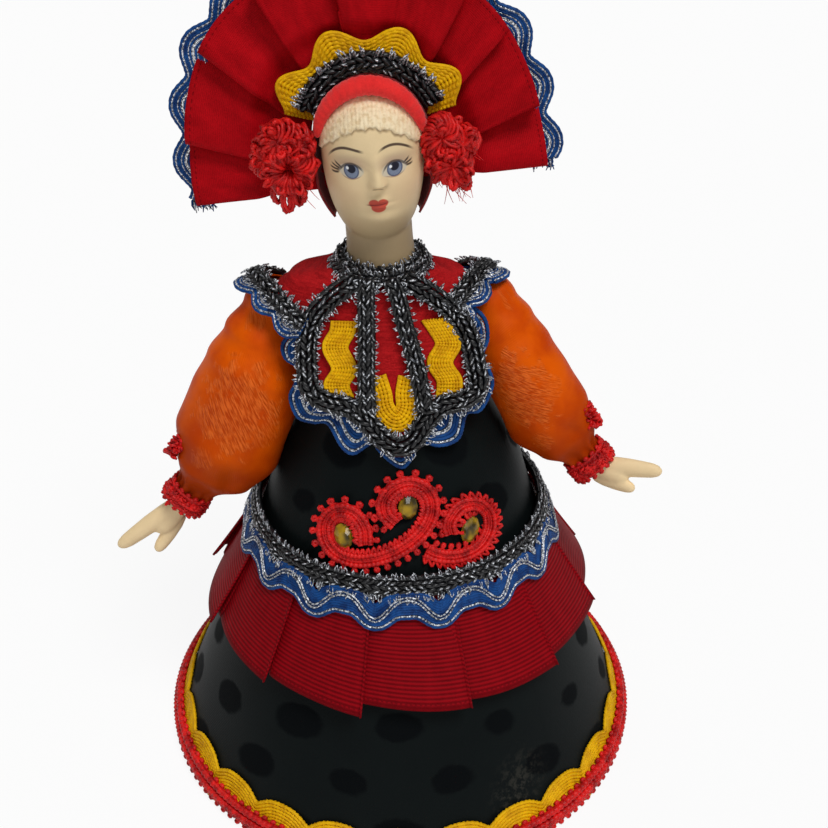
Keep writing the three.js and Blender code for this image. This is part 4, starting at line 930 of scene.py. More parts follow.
def on_torso(turn, height, inset=0.0):
    """The body from the skirt's top to the collar, an oval that squares off at the shoulders."""
    wide, deep = along_pairs(TORSO_WIDTHS, height) - inset, skirt_radius(height) - inset
    power = between(2, 2.4, np.clip((height - SATIN_TOP) / (SHOULDER - SATIN_TOP), 0, 1))
    s, c = np.sin(turn), np.cos(turn)
    sink = inset * np.clip((height - SHOULDER) / 4, 0, 1)
    return array(lean(height) + wide * np.sign(s) * np.abs(s) ** (2 / power),
                 -deep * np.sign(c) * np.abs(c) ** (2 / power), height - sink)


def make_yoke():
    def place(u, v):
        turn, height = (u - 0.5) * TURN, between(YOKE_FOOT, TORSO_TOP, v)
        points = on_torso(turn, height)
        points[:, 2] -= 0.25 * hump(np.abs(points[:, 0] - lean(height)) - 16, 3) * np.cos(turn * 7)
        return points
    yoke = sheet("yoke_cloth", "red cloth", 120, 44, place, wrap=True, thick=0.4)
    fit(yoke, "root", "yoke_fabric")


def make_bust():
    """The stuffing fills the cone's top and the yoke, just inside their cloth."""
    def place(u, v):
        turn, height = (u - 0.5) * TURN, between(CARD_TOP + 0.3, TORSO_TOP, v)
        upper = on_torso(turn, np.maximum(height, YOKE_FOOT), 0.9)
        lower = on_cone(turn, height, -0.9)
        return np.where((height < SATIN_TOP)[:, None], lower, upper)
    bust = sheet("bust_stuffing", "stuffing", 90, 44, place, wrap=True, caps=True)
    fit(bust, "root", "bust_form")


# The bib's outline: how wide each side is at each height, then the frame's path and the ric-rac's wavy edge
BIB_HALF = [(5.4, 138), (8.4, 136.2), (12, 133.6), (16.2, 129.4), (18.4, 124.5), (19.3, 118.5), (19.2, 113.4),
            (15.8, 111.2), (10.6, 110.4), (6.8, 107.6), (3.6, 103.6), (0, 102)]
BIB_PATH = [(-x, z) for x, z in BIB_HALF] + BIB_HALF[-2::-1]
BIB_LOBES = [
    (-14.6, 131), (-19.8, 126.6), (-24.4, 122.6), (-24.6, 119.2), (-21.6, 117.4), (-22.8, 113.8),
    (-24.6, 110.4), (-23.4, 106.4), (-20, 105.8), (-16.2, 106), (-13.6, 101.2), (-11, 99.9), (-6.4, 102.6),
    (-4.9, 101), (-2.6, 98.6), (0.2, 97.2), (2.6, 99.6), (4.8, 102.7), (9.4, 101.6), (13.8, 102.8),
    (16.1, 107.8), (19.6, 108.2), (22.8, 112.9), (22.2, 116.8), (20.8, 119.3), (22.8, 123.2), (22.4, 127.8),
    (18.6, 131.6), (13.8, 133.4)]

# Cords of the bib's ric-rac: how far in from its edge, radius, finish
LOBE_CORDS = [
    (0, 0.5, "blue thread"), (0.85, 0.3, "silver thread"), (1.6, 0.48, "blue thread"),
    (2.4, 0.48, "blue thread"), (3.05, 0.24, "silver thread"), (3.5, 0.24, "silver thread"),
    (4.2, 0.48, "blue thread"), (5.0, 0.48, "blue thread"), (5.7, 0.26, "silver thread"),
    (6.4, 0.48, "blue thread"), (7.2, 0.48, "blue thread")]
YELLOWS = {
    "bib_yellow_left": [(-9.4, 129), (-10.1, 126.6), (-12.2, 123), (-10.7, 118.6), (-12.9, 115),
                        (-12.2, 112)],
    "bib_yellow_middle": [(-4, 117), (-3.2, 113.4), (-3, 110.6), (-1.7, 108.4), (0, 107.7), (1.7, 108.4),
                          (3, 110.6), (3.2, 113.4), (4.2, 117)],
    "bib_yellow_right": [(10.9, 129.2), (12.3, 126.8), (13.6, 123.4), (11.3, 119.6), (13, 115.6),
                         (12.4, 112)],
}
BIB_BARS = {
    "bib_bar_left": [(-3.0, 138), (-3.7, 134.6), (-4.4, 128), (-5.3, 121), (-6, 115.6), (-6.6, 109.4)],
    "bib_bar_right": [(2.2, 138), (3.4, 134.6), (4.4, 128), (5.7, 121), (6.4, 115.6), (6.8, 109.4)],
}


def make_bib_ricrac():
    """The cords keep the shape of the wavy outline and step inwards from it."""
    lobes = Trim("bib_blue_ricrac")
    edge = smooth_line(BIB_LOBES, 420)
    inward = unit(np.array([-BIB_X, 120.0]) - edge)
    along = np.linspace(0, 190, len(edge))
    for depth, radius, finish in LOBE_CORDS:
        line = edge + inward * depth
        places = on_bib(line[:, 0], line[:, 1], 0.35 + cord_height(finish, radius))
        lobes.cord(finish, places, beaded(finish, along, radius))
    fit(lobes.made(), "root", "bib_ricrac")


def make_bib_panel():
    halves, rows = np.array(BIB_HALF[::-1]).T

    def place(u, v):
        height = between(102.6, 136.4, v)
        half = np.maximum(np.interp(height, rows, halves - 0.2), 0.4)
        return on_bib(between(-1, 1, u) * half, height, 1.5 + CLOTH)
    panel = sheet("bib_red_panel", "red cloth", 40, 40, place, thick=0.5)
    fit(panel, "root", "bib_panel")


def make_bib_braids():
    """The frame, then the two upright bars."""
    braids = [("bib_silver_braid", "bib_frame_braid", BIB_PATH, 260, 4.6, 2.1, 3.0)]
    for node, pairs in BIB_BARS.items():
        braids.append((node.replace("bar", "upright"), node, pairs, 80, 3.8, 1.7, 3.1))
    for name, node, pairs, steps, width, edge, lift in braids:
        braid = Trim(name)
        track = track_on(on_bib, pairs, steps)
        plait(braid, track, width, 2.2, lift=lift, rows=4, silver=0.5)
        eyelash(braid, track, (edge, -edge), 1.3, 1.5, 3.9)
        fit(braid.made(), "root", node)


def make_bib_yellows():
    for name, pairs in YELLOWS.items():
        wavy = Trim(name.replace("yellow", "wavy"))
        track = track_on(on_bib, pairs, 80)
        width, count = (5.0, 6) if name == "bib_yellow_middle" else (5.4, 8)
        if name != "bib_yellow_middle":
            # The outer two swing sideways as a whole, so their cords stand beside each other, level
            level = np.array([np.sign(track.side[len(track.side) // 2, 0]), 0, 0])
            track.side = unit(track.side * 0.25 + level)
        along = track.samples(0.2)
        for aside, radius, finish in yellow_cords(width, count):
            wavy.cord(finish, track.at(along, aside, 2.5 + radius * 0.7), beaded(finish, along, radius))
        for side in (-1, 1):
            wavy.cord("yellow cord", track.at(along, side * width / 2, 2.75), 0.36)
        fit(wavy.made(), "root", name)


# Places along each shoulder strap, front to back
STRAPS = {
    "left": [(-20.5, -14, 129.2), (-25.7, -9, 130.8), (-29, -5, 132.3), (-32.6, 0, 133), (-33, 5, 131.5),
             (-28, 9, 128)],
    "right": [(12.5, -12, 131.0), (13.5, -9.5, 132.8), (16.1, -6, 134.4), (18.7, -1, 135), (20.8, 2, 135),
              (17, 8.5, 131.5), (12.5, 10.5, 127)],
}


def make_straps():
    for name, places in STRAPS.items():
        side = ARMS[name]["side"]
        line = smooth_line(places, 120)
        # The strap faces forwards in front of the shoulder, up on it and backwards behind it
        turn = np.interp(line[:, 1], (-14, -6, 0, 10), (-1.1, -0.45, 0, 0.8))
        track = Track(line, array(side * 0.25, np.sin(turn), np.cos(turn)))
        braid = Trim(f"strap_plait_{name}")
        plait(braid, track, 4.0, 1.8, lift=0.9, rows=4, silver=0.5)
        eyelash(braid, track, (1.8, -1.8), 1.4, 1.4, 1.7)
        fit(braid.made(), "root", f"strap_braid_{name}")
        edging = Trim(f"strap_blue_{name}")
        ricrac(edging, track, blue_cords(4.6), -side * 2.1, 1.0, track.length / 4, phase=0.5, lift=0.0)
        fit(edging.made(), "root", f"strap_ricrac_{name}")


def make_collar():
    collar = Trim("collar_plait")
    angle = np.linspace(0, TURN, 160, endpoint=False)
    for radius, height, width, tip in ((8.9, 139.5, 2.9, 0.8), (10.6, 138.8, 2.9, 1.6)):
        places = array(NECK_X + radius * np.sin(angle), -radius * np.cos(angle), height)
        out = array(np.sin(angle) * tip, -np.cos(angle) * tip, 1.0)
        track = Track(places, out, closed=True)
        plait(collar, track, width, 1.4, lift=-0.5, rows=3, silver=0.3)
        eyelash(collar, track, (1.2, -1.2), 1.1, 1.7, 0.5)
    fit(collar.made(), "root", "collar_braid")


# Head and head-dress
def egg(height, angle):
    """The head without its features."""
    above = height > HEAD_MIDDLE
    power = np.where(above, 2.0, 2.25)
    share = np.abs((height - HEAD_MIDDLE) / np.where(above, CROWN, JAW))
    share = np.clip(1 - share ** power, 0, 1) ** (1 / power)
    return array(HEAD_WIDE * share * np.sin(angle), -HEAD_DEEP * share * np.cos(angle), height)


# How far the face is turned aside, where its eyes are, and the neck, a little wider than in the solids
FACE_TURN = 1.2
LEFT_EYE, RIGHT_EYE = -4.4, 4.9
NECK_RADIUS = 7.6


def twins(x, left, right, width):
    return hump(x - right, width) + hump(x - left, width)


def face_relief(x, z):
    across = x - FACE_TURN
    nose = 2.3 * hump(across, 1.05) * np.where(z > 24.2, hump(z - 24.2, 2.5), hump(z - 24.2, 0.75))
    wings = 0.45 * twins(across, -1.1, 1.1, 0.6) * hump(z - 24.0, 0.7)
    bridge = 0.5 * hump(across, 1.3) * hump(z - 28, 2.6)
    lips = 0.45 * twins(across, -0.8, 0.8, 0.9) * hump(z - 19.9, 0.55)
    lips = lips + 0.55 * hump(across, 1.3) * hump(z - 18.5, 0.6)
    lips = lips - 0.3 * hump(across, 1.9) * hump(z - 19.2, 0.22)
    philtrum = -0.15 * hump(across, 0.5) * hump(z - 21.6, 0.8)
    chin = 1.5 * hump(across * 0.9, 3.2) * hump(z - 15.4, 2.2) - 0.4 * hump(across, 2.4) * hump(z - 17.0, 0.7)
    cheeks = 0.55 * twins(across, -6.6, 5.6, 2.6) * hump(z - 22.2, 2.8)
    sockets = -0.75 * twins(x, LEFT_EYE, RIGHT_EYE, 2.4) * hump(z - 27.4, 1.9)
    balls = 0.55 * twins(x, LEFT_EYE, RIGHT_EYE, 1.7) * hump(z - 27.0, 1.35)
    lid_line = 28.8 - 0.07 * (np.abs(x) - 4.7) ** 2
    lids = 0.22 * twins(x, LEFT_EYE, RIGHT_EYE, 2.2) * hump(z - lid_line, 0.35)
    return nose + wings + bridge + lips + philtrum + chin + cheeks + sockets + balls + lids


def hair_rise(x, z):
    """The moulded hair: crocheted rows of small waves."""
    row = z / 1.15
    zigzag = np.sin(TURN * x / 1.5 + math.pi * np.floor(row)) * 0.22
    crochet = np.cos(TURN * (row + zigzag)) * 0.5 + 0.5 * np.sin(TURN * x / 0.8)
    return ease(z - hairline(x), -0.2, 0.4) * (0.66 + 0.13 * crochet)


def make_head():
    # Share of the grid's rows that are below the head's widest place
    lower_rows = 0.7

    def place(u, v):
        turn = (u - 0.5) * TURN
        angle = turn - 0.6 * np.sin(turn)
        lower = v < lower_rows
        rise = np.clip((v - lower_rows) / (1 - lower_rows), 0, 1) * math.pi / 2
        height = np.where(lower, HEAD_MIDDLE * v / lower_rows, HEAD_MIDDLE + CROWN * np.sin(rise))
        surface = egg(height, angle)
        surface[:, 0] = np.where(lower, surface[:, 0], HEAD_WIDE * np.cos(rise) * np.sin(angle))
        surface[:, 1] = np.where(lower, surface[:, 1], -HEAD_DEEP * np.cos(rise) * np.cos(angle))
        neck_radius = NECK_RADIUS + 0.3 * hump(height, 2.5)
        neck = array(neck_radius * np.sin(angle), 0.6 - neck_radius * np.cos(angle), height)
        wider = np.hypot(neck[:, 0], neck[:, 1]) - np.hypot(surface[:, 0], surface[:, 1])
        share = ease(wider, -1.0, 1.0) * (height < 16)
        front = ease(-surface[:, 1], 1.5, 4.5) * (1 - share)
        relief = face_relief(surface[:, 0], height) * (height < 33.5) + hair_rise(surface[:, 0], height)
        surface = surface + array(np.sin(angle), -np.cos(angle), 0 * angle) * (relief * front)[:, None]
        return head(surface * (1 - share)[:, None] + neck * share[:, None])
    bisque_head = sheet("head_bisque", "painted bisque", 210, 170, place, wrap=True, caps=True)
    fit(bisque_head, "root", "head")


def make_cap():
    foot, edge = 11.5, math.asin(-2 / HEAD_DEEP)
    low, high = -math.asin((HEAD_MIDDLE - foot) / JAW), math.pi / 2 * 0.985

    def place(u, v):
        angle = between(math.pi / 2 + edge, 1.5 * math.pi - edge, u)
        tilt = between(low, high, v)
        height = HEAD_MIDDLE + np.where(tilt > 0, CROWN + 1.6, JAW) * np.sin(tilt)
        fold = 0.3 * np.sin(u * 34) * ease(v, 0.5, 0.0) + 0.2 * np.sin(u * 19 + v * 6)
        off = 1.6 + fold * 0.5 + 1.3 * ease(height, 26, 17)
        across, deep = (HEAD_WIDE + off) * np.cos(tilt), (HEAD_DEEP + off) * np.cos(tilt)
        return head(array(across * np.sin(angle), -deep * np.cos(angle), height))
    cap = sheet("head_kerchief", "dark red cloth", 80, 60, place, thick=0.5)
    fit(cap, "root", "head_cap")


def make_headband():
    def place(u, v):
        degrees = between(14, 166, v)
        angle = np.radians(degrees)
        around = u * TURN
        full = (0.45 + 0.55 * np.sin(math.pi * v)) * np.sqrt(np.clip(1 - (2 * np.abs(v - 0.5)) ** 14, 0, 1))
        crease = 1 + 0.03 * np.sin(degrees * 0.9 + 2 * np.sin(around)) + 0.02 * np.sin(degrees * 2.3)
        y = -3.9 - 2.3 * np.sin(angle)
        middle = head_arch(degrees, y, 2.9 - 2.1 * (1 - np.sin(angle)) ** 0.8)
        out = array(-np.cos(angle), 0 * angle, np.sin(angle))
        rise, depth = 2.1 * full * crease * np.cos(around), -2.2 * full * crease * np.sin(around)
        return head(middle + out * rise[:, None] + array(0, depth, 0 * depth))
    roll = sheet("headband_roll", "red felt", 40, 150, place, wrap=True, caps=True)
    fit(roll, "root", "headband")


def facing_front(places):
    return Track(places, np.tile([0.0, -1.0, 0.0], (len(places), 1)))


def make_crown():
    """Braid over the headband, and yellow ric-rac in lobes behind it, one lobe for every 35 degrees."""
    braid = Trim("crown_silver_braid")
    track = facing_front(head(head_arch(np.linspace(28, 152, 160), -0.2, 4.05)))
    plait(braid, track, 4.4, 2.3, lift=-1.05, rows=4, silver=0.35)
    eyelash(braid, track, (1.9, 2.0), 1.7, 2.3, 0.4, thick=0.22)
    fit(braid.made(), "root", "crown_braid")

    edging = Trim("crown_yellow_ricrac")
    degrees = np.linspace(20, 160, 160)
    track = facing_front(head(head_arch(degrees, 1.8, 3.35)))
    lobe = (degrees - 90) / 35 + 0.5
    along = track.samples(0.22)
    swing = 3.35 + 1.9 * np.cos(TURN * np.interp(along, track.along, lobe))
    for aside, radius, finish in yellow_cords(6.1, 7):
        edging.cord(finish, track.at(along, swing + aside, radius * 0.7), beaded(finish, along, radius))
    edging.cord("yellow cord", track.at(along, swing + 3.2, 0.35), 0.42)
    fit(edging.made(), "root", "crown_ricrac")


def fan_rim(angle):
    """How far out the fan reaches: a rounded shape 40 mm to each side and 50 mm up."""
    return (np.abs(np.cos(angle) / 40) ** 2.5 + np.abs(np.sin(angle) / 50) ** 2.5) ** (-1 / 2.5)


def fan_mouth(angle):
    """How far out the fan's opening round the head reaches: straight sides below an arch."""
    half, high, straight = 15.05, 16.35, HEAD_MIDDLE - FAN_FOOT
    c, s = np.abs(np.cos(angle)), np.sin(angle)
    a = (c / half) ** 2 + (s / high) ** 2
    b = -2 * s * straight / high ** 2
    d = (straight / high) ** 2 - 1
    arch = (-b + np.sqrt(np.maximum(b * b - 4 * a * d, 0))) / (2 * a)
    side = half / np.maximum(c, 1e-6)
    return np.where(side * s <= straight, side, arch)


def fan_points(angle, radius, y):
    return fan(array(radius * np.cos(angle), y, radius * np.sin(angle)))


# Where the fan's ribbon is folded, in degrees round from its right foot, and how deep the folds are
FAN_FOLDS = (180, 158.7, 132.2, 111.5, 91.4, 74, 57, 42.5, 19.9, 0)
FAN_DEPTH = 4.4


def make_fan():
    folds = np.array(FAN_FOLDS)
    panels = len(folds) - 1

    def place(u, v):
        panel = np.minimum(np.floor(u * panels), panels - 1).astype(int)
        share = u * panels - panel
        # Each panel slopes back towards its fold, then a narrow strip returns to the next one's front edge
        left = panel < 5
        step = np.where(left, share, 1 - share)
        turn = np.interp(step, (0, 0.8, 0.86, 1), (0, 1, 1.02, 1))
        depth = np.interp(step, (0, 0.06, 0.3, 0.6, 0.78, 0.86, 1), (0.1, 0, 0.16, 0.62, 0.9, 1, 0))
        # The two in the middle slope back less far, to the fold between them
        middle = (panel == 4) | (panel == 5)
        turn = np.where(middle, step, turn)
        shallow = np.interp(step, (0, 0.06, 0.3, 0.6, 0.9, 1), (0.1, 0, 0.12, 0.4, 0.66, 0.7))
        depth = np.where(middle, shallow, depth)
        turn = np.where(left, turn, 1 - turn)
        angle = np.radians(between(folds[panel], folds[panel + 1], turn))
        droop = 0.9 * np.sin(step * 5 + panel * 1.9 + 2 * v) * v * (1 - v * 0.4)
        y = 1.0 + 1.9 * ease(v, 0.55, 0.36) + FAN_DEPTH * depth * (0.4 + 0.6 * v) + droop
        mouth = fan_mouth(angle) - 3.4 - 2 * np.abs(np.cos(angle))
        return fan_points(angle, between(mouth, fan_rim(angle), v) - 0.5 * v * depth, y)
    ribbon = sheet("fan_grosgrain", "fan grosgrain", panels * 30, 44, place, cut=lambda u, v: (u, 1 - v),
                   thick=0.4)
    fit(ribbon, "root", "fan_ribbon")


def make_fan_ricrac():
    """Blue ric-rac round the rim, with frayed threads at both cut ends."""
    edging = Trim("fan_blue_ricrac")
    angle = math.pi * (1 - np.linspace(0, 1, 300))
    places = fan_points(angle, fan_rim(angle), 5.8)
    track = facing_front(places)
    ricrac(edging, track, blue_cords(5.4), -0.4, 1.45, track.length / 11, phase=0.3, lift=0.0)
    for end, away in ((0.0, unit(places[0] - places[2])), (track.length, unit(places[-1] - places[-3]))):
        for _ in range(34):
            out, drift = chance.uniform(-3, 1.6), chance.uniform(1.0, 3.4)
            lift = chance.uniform(-0.2, 0.6)
            across = [out, out + chance.uniform(-0.5, 0.5), out + chance.uniform(-1, 1)]
            points = track.at(np.full(3, end), across, lift) + away * np.array([[0], [drift * 0.5], [drift]])
            finish = chance.choice(["blue thread", "blue thread", "silver thread"])
            edging.cord(finish, points, [0.26, 0.22, 0.1], sides=4)
    fit(edging.made(), "root", "fan_ricrac")


# Wound coils of each rosette: place across and up, ring and coil radii, how tall, how far forward. Then how
# many ruffled loops and loose threads it has, and where loops hang down and how far.
ROSETTES = {
    "rosette_left": dict(coils=[(-20.0, 32.2, 1.9, 2.2, 1.0, 4.6), (-18.4, 25.2, 3.6, 1.9, 1.0, 5.0),
                                (-23.4, 28.2, 1.2, 1.8, 1.3, 4.2), (-15.4, 30.8, 1.0, 1.9, 1.2, 4.4)],
                         loops=70, threads=16,
                         hanging=[(-21.4, 21.4, 4.4), (-19.4, 20.4, 5.0), (-16.4, 21.0, 4.2)]),
    "rosette_right": dict(coils=[(15.4, 31.0, 2.2, 1.9, 1.1, 4.8), (17.4, 24.6, 2.4, 2.0, 1.1, 5.0),
                                 (19.8, 29.2, 1.2, 1.9, 1.3, 4.2), (14.2, 26.2, 1.0, 1.8, 1.2, 4.2)],
                          loops=66, threads=50, hanging=[(20.2, 21.6, 3.0)]),
}


def wind_coil(rosette, cx, cz, ring, coil, tall, deep):
    """A gimp cord wound close round a ring, with a second one loosely over it."""
    centre = np.array([cx, -deep, cz])
    for winds, cord, proud in ((TURN * (ring + 0.5) / 0.85, 0.5, 0.0), (TURN * ring / 2.3 + 3, 0.42, 0.45)):
        share = np.linspace(0, 1, int(winds * 12), endpoint=False)
        wind = TURN * round(winds) * share
        turn = TURN * share + 0.4 * np.sin(wind)
        fat = (coil + proud) * (1 + 0.16 * np.sin(turn * 3 + cx) + 0.06 * np.sin(turn * 11))
        reach = ring + fat * np.cos(wind)
        places = centre + array(reach * np.cos(turn), fat * np.sin(wind), reach * np.sin(turn) * tall)
        rosette.cord("red gimp", head(places), ribbed(np.arange(len(share)) * 0.9, cord, 1.0, 0.14), True)


def ruffle(rosette, coils, loops):
    """Short open loops that stand out all round the coils."""
    for index in range(loops):
        cx, cz, ring, coil, tall, deep = coils[index % len(coils)]
        turn = TURN * (index * 0.382 + chance.uniform(0, 0.15))
        out = np.array([math.cos(turn), chance.uniform(-1.4, 0.3), math.sin(turn) * tall])
        side = unit(np.cross(out, [0, 1, 0]) + [0, chance.uniform(-0.8, 0.8), 0])
        start = np.array([cx, -deep, cz]) + unit(out) * (ring + coil * 0.75)
        reach, wide = chance.uniform(0.8, 1.9), chance.uniform(0.55, 0.9)
        bend = np.linspace(-0.3, math.pi + 0.3, 14)[:, None]
        places = start + unit(out) * reach * np.sin(bend) + side * wide * np.cos(bend)
        rosette.cord("red gimp", head(places), ribbed(np.arange(14) * 0.35, 0.46, 0.8, 0.2), sides=6)


def hang_loops(rosette, x, z, fall):
    for _ in range(3):
        bend = np.linspace(0, TURN, 22, endpoint=False)[:, None]
        wide, long = chance.uniform(0.7, 1.1), fall * chance.uniform(0.8, 1.1)
        middle = np.array([x + chance.uniform(-0.5, 0.5), -5 + chance.uniform(-1, 1), z - fall / 2])
        places = middle + np.array([wide, 0.3, 0]) * np.cos(bend) + np.array([0, 0, long / 2]) * np.sin(bend)
        rosette.cord("red gimp", head(places), ribbed(np.arange(22) * 0.4, 0.46, 0.8, 0.2), True)


def fray(rosette, coils, threads):
    """Loose threads that fall from the coils and drift to the right."""
    for _ in range(threads):
        cx, cz, ring, coil, _, deep = chance.choice(coils)
        aside, behind = chance.uniform(-3, 4), chance.uniform(-1, 2)
        start = np.array([cx + aside, -deep + behind, cz - (ring + coil) * 0.8])
        fall, drift = chance.uniform(1.5, 6.0), chance.uniform(-1.5, 4.0)
        share = np.linspace(0, 1, 7)[:, None]
        places = start + np.array([drift, -0.6, 0]) * share ** 1.5 - np.array([0, 0, fall]) * share
        rosette.cord("red gimp", head(places), np.linspace(0.14, 0.05, 7), sides=4)


def make_rosettes():
    for name, size in ROSETTES.items():
        rosette = Trim(name.replace("rosette", "looped_rosette"))
        for coil in size["coils"]:
            wind_coil(rosette, *coil)
        ruffle(rosette, size["coils"], size["loops"])
        for hanging in size["hanging"]:
            hang_loops(rosette, *hanging)
        fray(rosette, size["coils"], size["threads"])
        fit(rosette.made(), "root", name)


# Arms
# How full a sleeve is along its length, then its radius at both ends, where it is fullest, and the share of
# its grid's rows that close it over the shoulder
SLEEVE_SWELL = [(0, 0), (0.14, 0.46), (0.3, 0.84), (0.47, 1), (0.66, 0.97), (0.81, 0.66), (0.93, 0.08),
                (1, 0)]
SHOULDER_END, CUFF_END, FULLEST = 7.3, 4.4, 0.45
SHOULDER_ROWS = 0.08
CUFF, TUFT = 1.0, 0.77
BACK = np.array([0.0, 1.0, 0.0])


def sleeve_line(arm, share):
    """Places along the middle of a sleeve, and its direction there."""
    start, end = np.array(arm["pivot"], float), np.array(arm["cuff"], float)
    ahead = unit(end - start)
    middle = (start + end) / 2 + 2 * arm["sag"] * np.array([-arm["side"] * abs(ahead[2]), 0, -abs(ahead[0])])
    t = np.asarray(share, float)[..., None]
    places = start * (1 - t) ** 2 + middle * 2 * t * (1 - t) + end * t ** 2
    return places, unit(2 * (middle - start) * (1 - t) + 2 * (end - middle) * t)


def sleeve_radius(arm, share):
    swell = arm["fullness"] - between(SHOULDER_END, CUFF_END, FULLEST)
    return between(SHOULDER_END, CUFF_END, share) + swell * along_pairs(SLEEVE_SWELL, share)


def square_to(ahead):
    """The directions square to a line's own: one towards the back and one round from it."""
    across = unit(BACK - ahead * ahead[..., 1:2])
    return across, np.cross(ahead, across)


def tube_section(places, ahead, around, radius):
    across, up = square_to(ahead)
    return places + across * (radius * np.cos(around))[:, None] + up * (radius * np.sin(around))[:, None]


def make_sleeve(name, arm, body):
    def place(u, v):
        around = u * TURN
        share = np.clip((v - SHOULDER_ROWS) / (1 - SHOULDER_ROWS), 0, 1)
        places, ahead = sleeve_line(arm, share)
        # The first rows close the sleeve over the shoulder as part of a ball
        ball = v < SHOULDER_ROWS
        dip = np.radians(62) * (1 - v / SHOULDER_ROWS)
        radius = np.where(ball, SHOULDER_END * np.cos(dip), sleeve_radius(arm, share))
        places = places - ahead * (np.where(ball, SHOULDER_END * np.sin(dip), 0))[:, None]
        gathers = 0.5 * np.sin(around * 11 + 1.3 * np.sin(around * 3)) * hump(share - CUFF, 0.09)
        gathers = gathers + 0.12 * np.sin(around * 7 + 0.8) * hump(share - 0.05, 0.08)
        low = ease(share, 0.45, 0.8) * ease(share, 1.0, 0.9)
        folds = 0.3 * np.sin(around * 2 + share * 7) * np.sin(share * math.pi) ** 2
        folds = folds + 0.5 * np.sin(around * 4 - share * 9 + 1) * low
        folds = folds - 0.6 * hump(np.mod(around * 3 / TURN + share * 1.6, 1) - 0.5, 0.08) * low
        # The satin bags out on the side next to the skirt, above the cuff
        inner = np.mod(-arm["side"] * around + math.pi / 2, TURN) - math.pi
        pouch = 2.4 * hump(inner, 0.8) * hump(share - 0.74, 0.12)
        return tube_section(places, ahead, around, radius + gathers + folds + pouch - 0.25)
    sleeve = sheet(f"sleeve_satin_{name}", "orange satin", 110, 120, place, wrap=True, thick=0.4)
    fit(sleeve, body, f"sleeve_{name}")


def make_filling(name, arm, body):
    def place(u, v):
        share = between(0.1, 0.88, v)
        places, ahead = sleeve_line(arm, share)
        end = np.sqrt(np.clip(1 - (2 * np.abs(v - 0.5)) ** 20, 0, 1))
        return tube_section(places, ahead, u * TURN, (sleeve_radius(arm, share) - 1.6) * end)
    filling = sheet(f"sleeve_stuffing_{name}", "stuffing", 48, 50, place, wrap=True, caps=True)
    fit(filling, body, f"sleeve_filling_{name}")


def make_cuff(name, arm, body):
    """Two rounds of gathered gimp, with frayed loops all over them."""
    wrist, down = sleeve_line(arm, CUFF)
    across, up = square_to(down)
    angle = np.linspace(0, TURN, 90, endpoint=False)
    out = across * np.cos(angle)[:, None] + up * np.sin(angle)[:, None]
    cuff = Trim(f"cuff_gimp_{name}")
    for shift, radius in ((-1.2, 4.9), (0.9, 5.2)):
        track = Track(wrist + down * shift + out * radius, out, closed=True)
        gimp(cuff, track, 2.2, lift=0.0, picots=(-1, 1), picot=0.8, gap=1.9)
    for _ in range(170):
        turn = chance.uniform(0, TURN)
        aim = across * math.cos(turn) + up * math.sin(turn)
        start = wrist + aim * 5.4 + down * chance.uniform(-1.6, 1.6)
        reach = chance.uniform(0.5, 1.5)
        bend = np.linspace(0, math.pi, 9)[:, None]
        points = start + (aim * 0.6 + down * chance.uniform(-0.5, 1.3)) * reach * np.sin(bend)
        swirl = np.cross(down, aim) * chance.uniform(0.3, 0.6)
        cuff.cord("red gimp", points + swirl * np.cos(bend), 0.26, sides=4)
    fit(cuff.made(), body, f"cuff_braid_{name}")


def make_tuft(name, arm, body):
    """A bunch of gimp loops on the outer side of the sleeve."""
    middle, down = sleeve_line(arm, TUFT)
    tuft = Trim(f"gimp_tuft_{name}")
    lean_out = unit(np.array([arm["side"], -0.35, 0]) - down * arm["side"] * down[0])
    seat = middle + lean_out * (float(sleeve_radius(arm, TUFT)) - 0.7)
    swirl = np.cross(down, lean_out)
    for _ in range(60):
        turn, tall = chance.uniform(0, TURN), chance.uniform(-2.8, 2.8)
        aim = swirl * math.cos(turn) * 0.9 + lean_out * abs(math.sin(turn)) + down * chance.uniform(-0.4, 0.4)
        bend = np.linspace(0, math.pi, 10)[:, None]
        points = seat + down * tall + unit(aim) * chance.uniform(1.2, 3.0) * np.sin(bend)
        cross = unit(np.cross(aim, down) + down * chance.uniform(-1, 1))
        tuft.cord("red gimp", points + cross * chance.uniform(0.3, 0.7) * np.cos(bend), 0.34, sides=6)
    fit(tuft.made(), body, f"sleeve_tuft_{name}")


# Sections of the hand's parts: share of the length, half the width, half the depth
FINGERS = [(-0.08, 2.0, 2.0), (0.1, 2.25, 2.0), (0.3, 2.5, 2.1), (0.5, 2.5, 2.0), (0.7, 2.25, 1.8),
           (0.86, 2.0, 1.5), (0.95, 1.55, 1.1), (1, 0.8, 0.6)]
PALM = [(-0.2, 2.0, 2.0), (0.1, 2.3, 2.1), (0.5, 2.9, 2.0), (0.8, 2.7, 1.8), (0.95, 1.5, 1.2), (1, 0.8, 0.7)]
THUMB = [(-0.3, 1.4, 1.3), (0, 1.9, 1.6), (0.4, 1.95, 1.6), (0.75, 1.7, 1.4), (0.92, 1.25, 1.1),
         (1, 0.6, 0.6)]


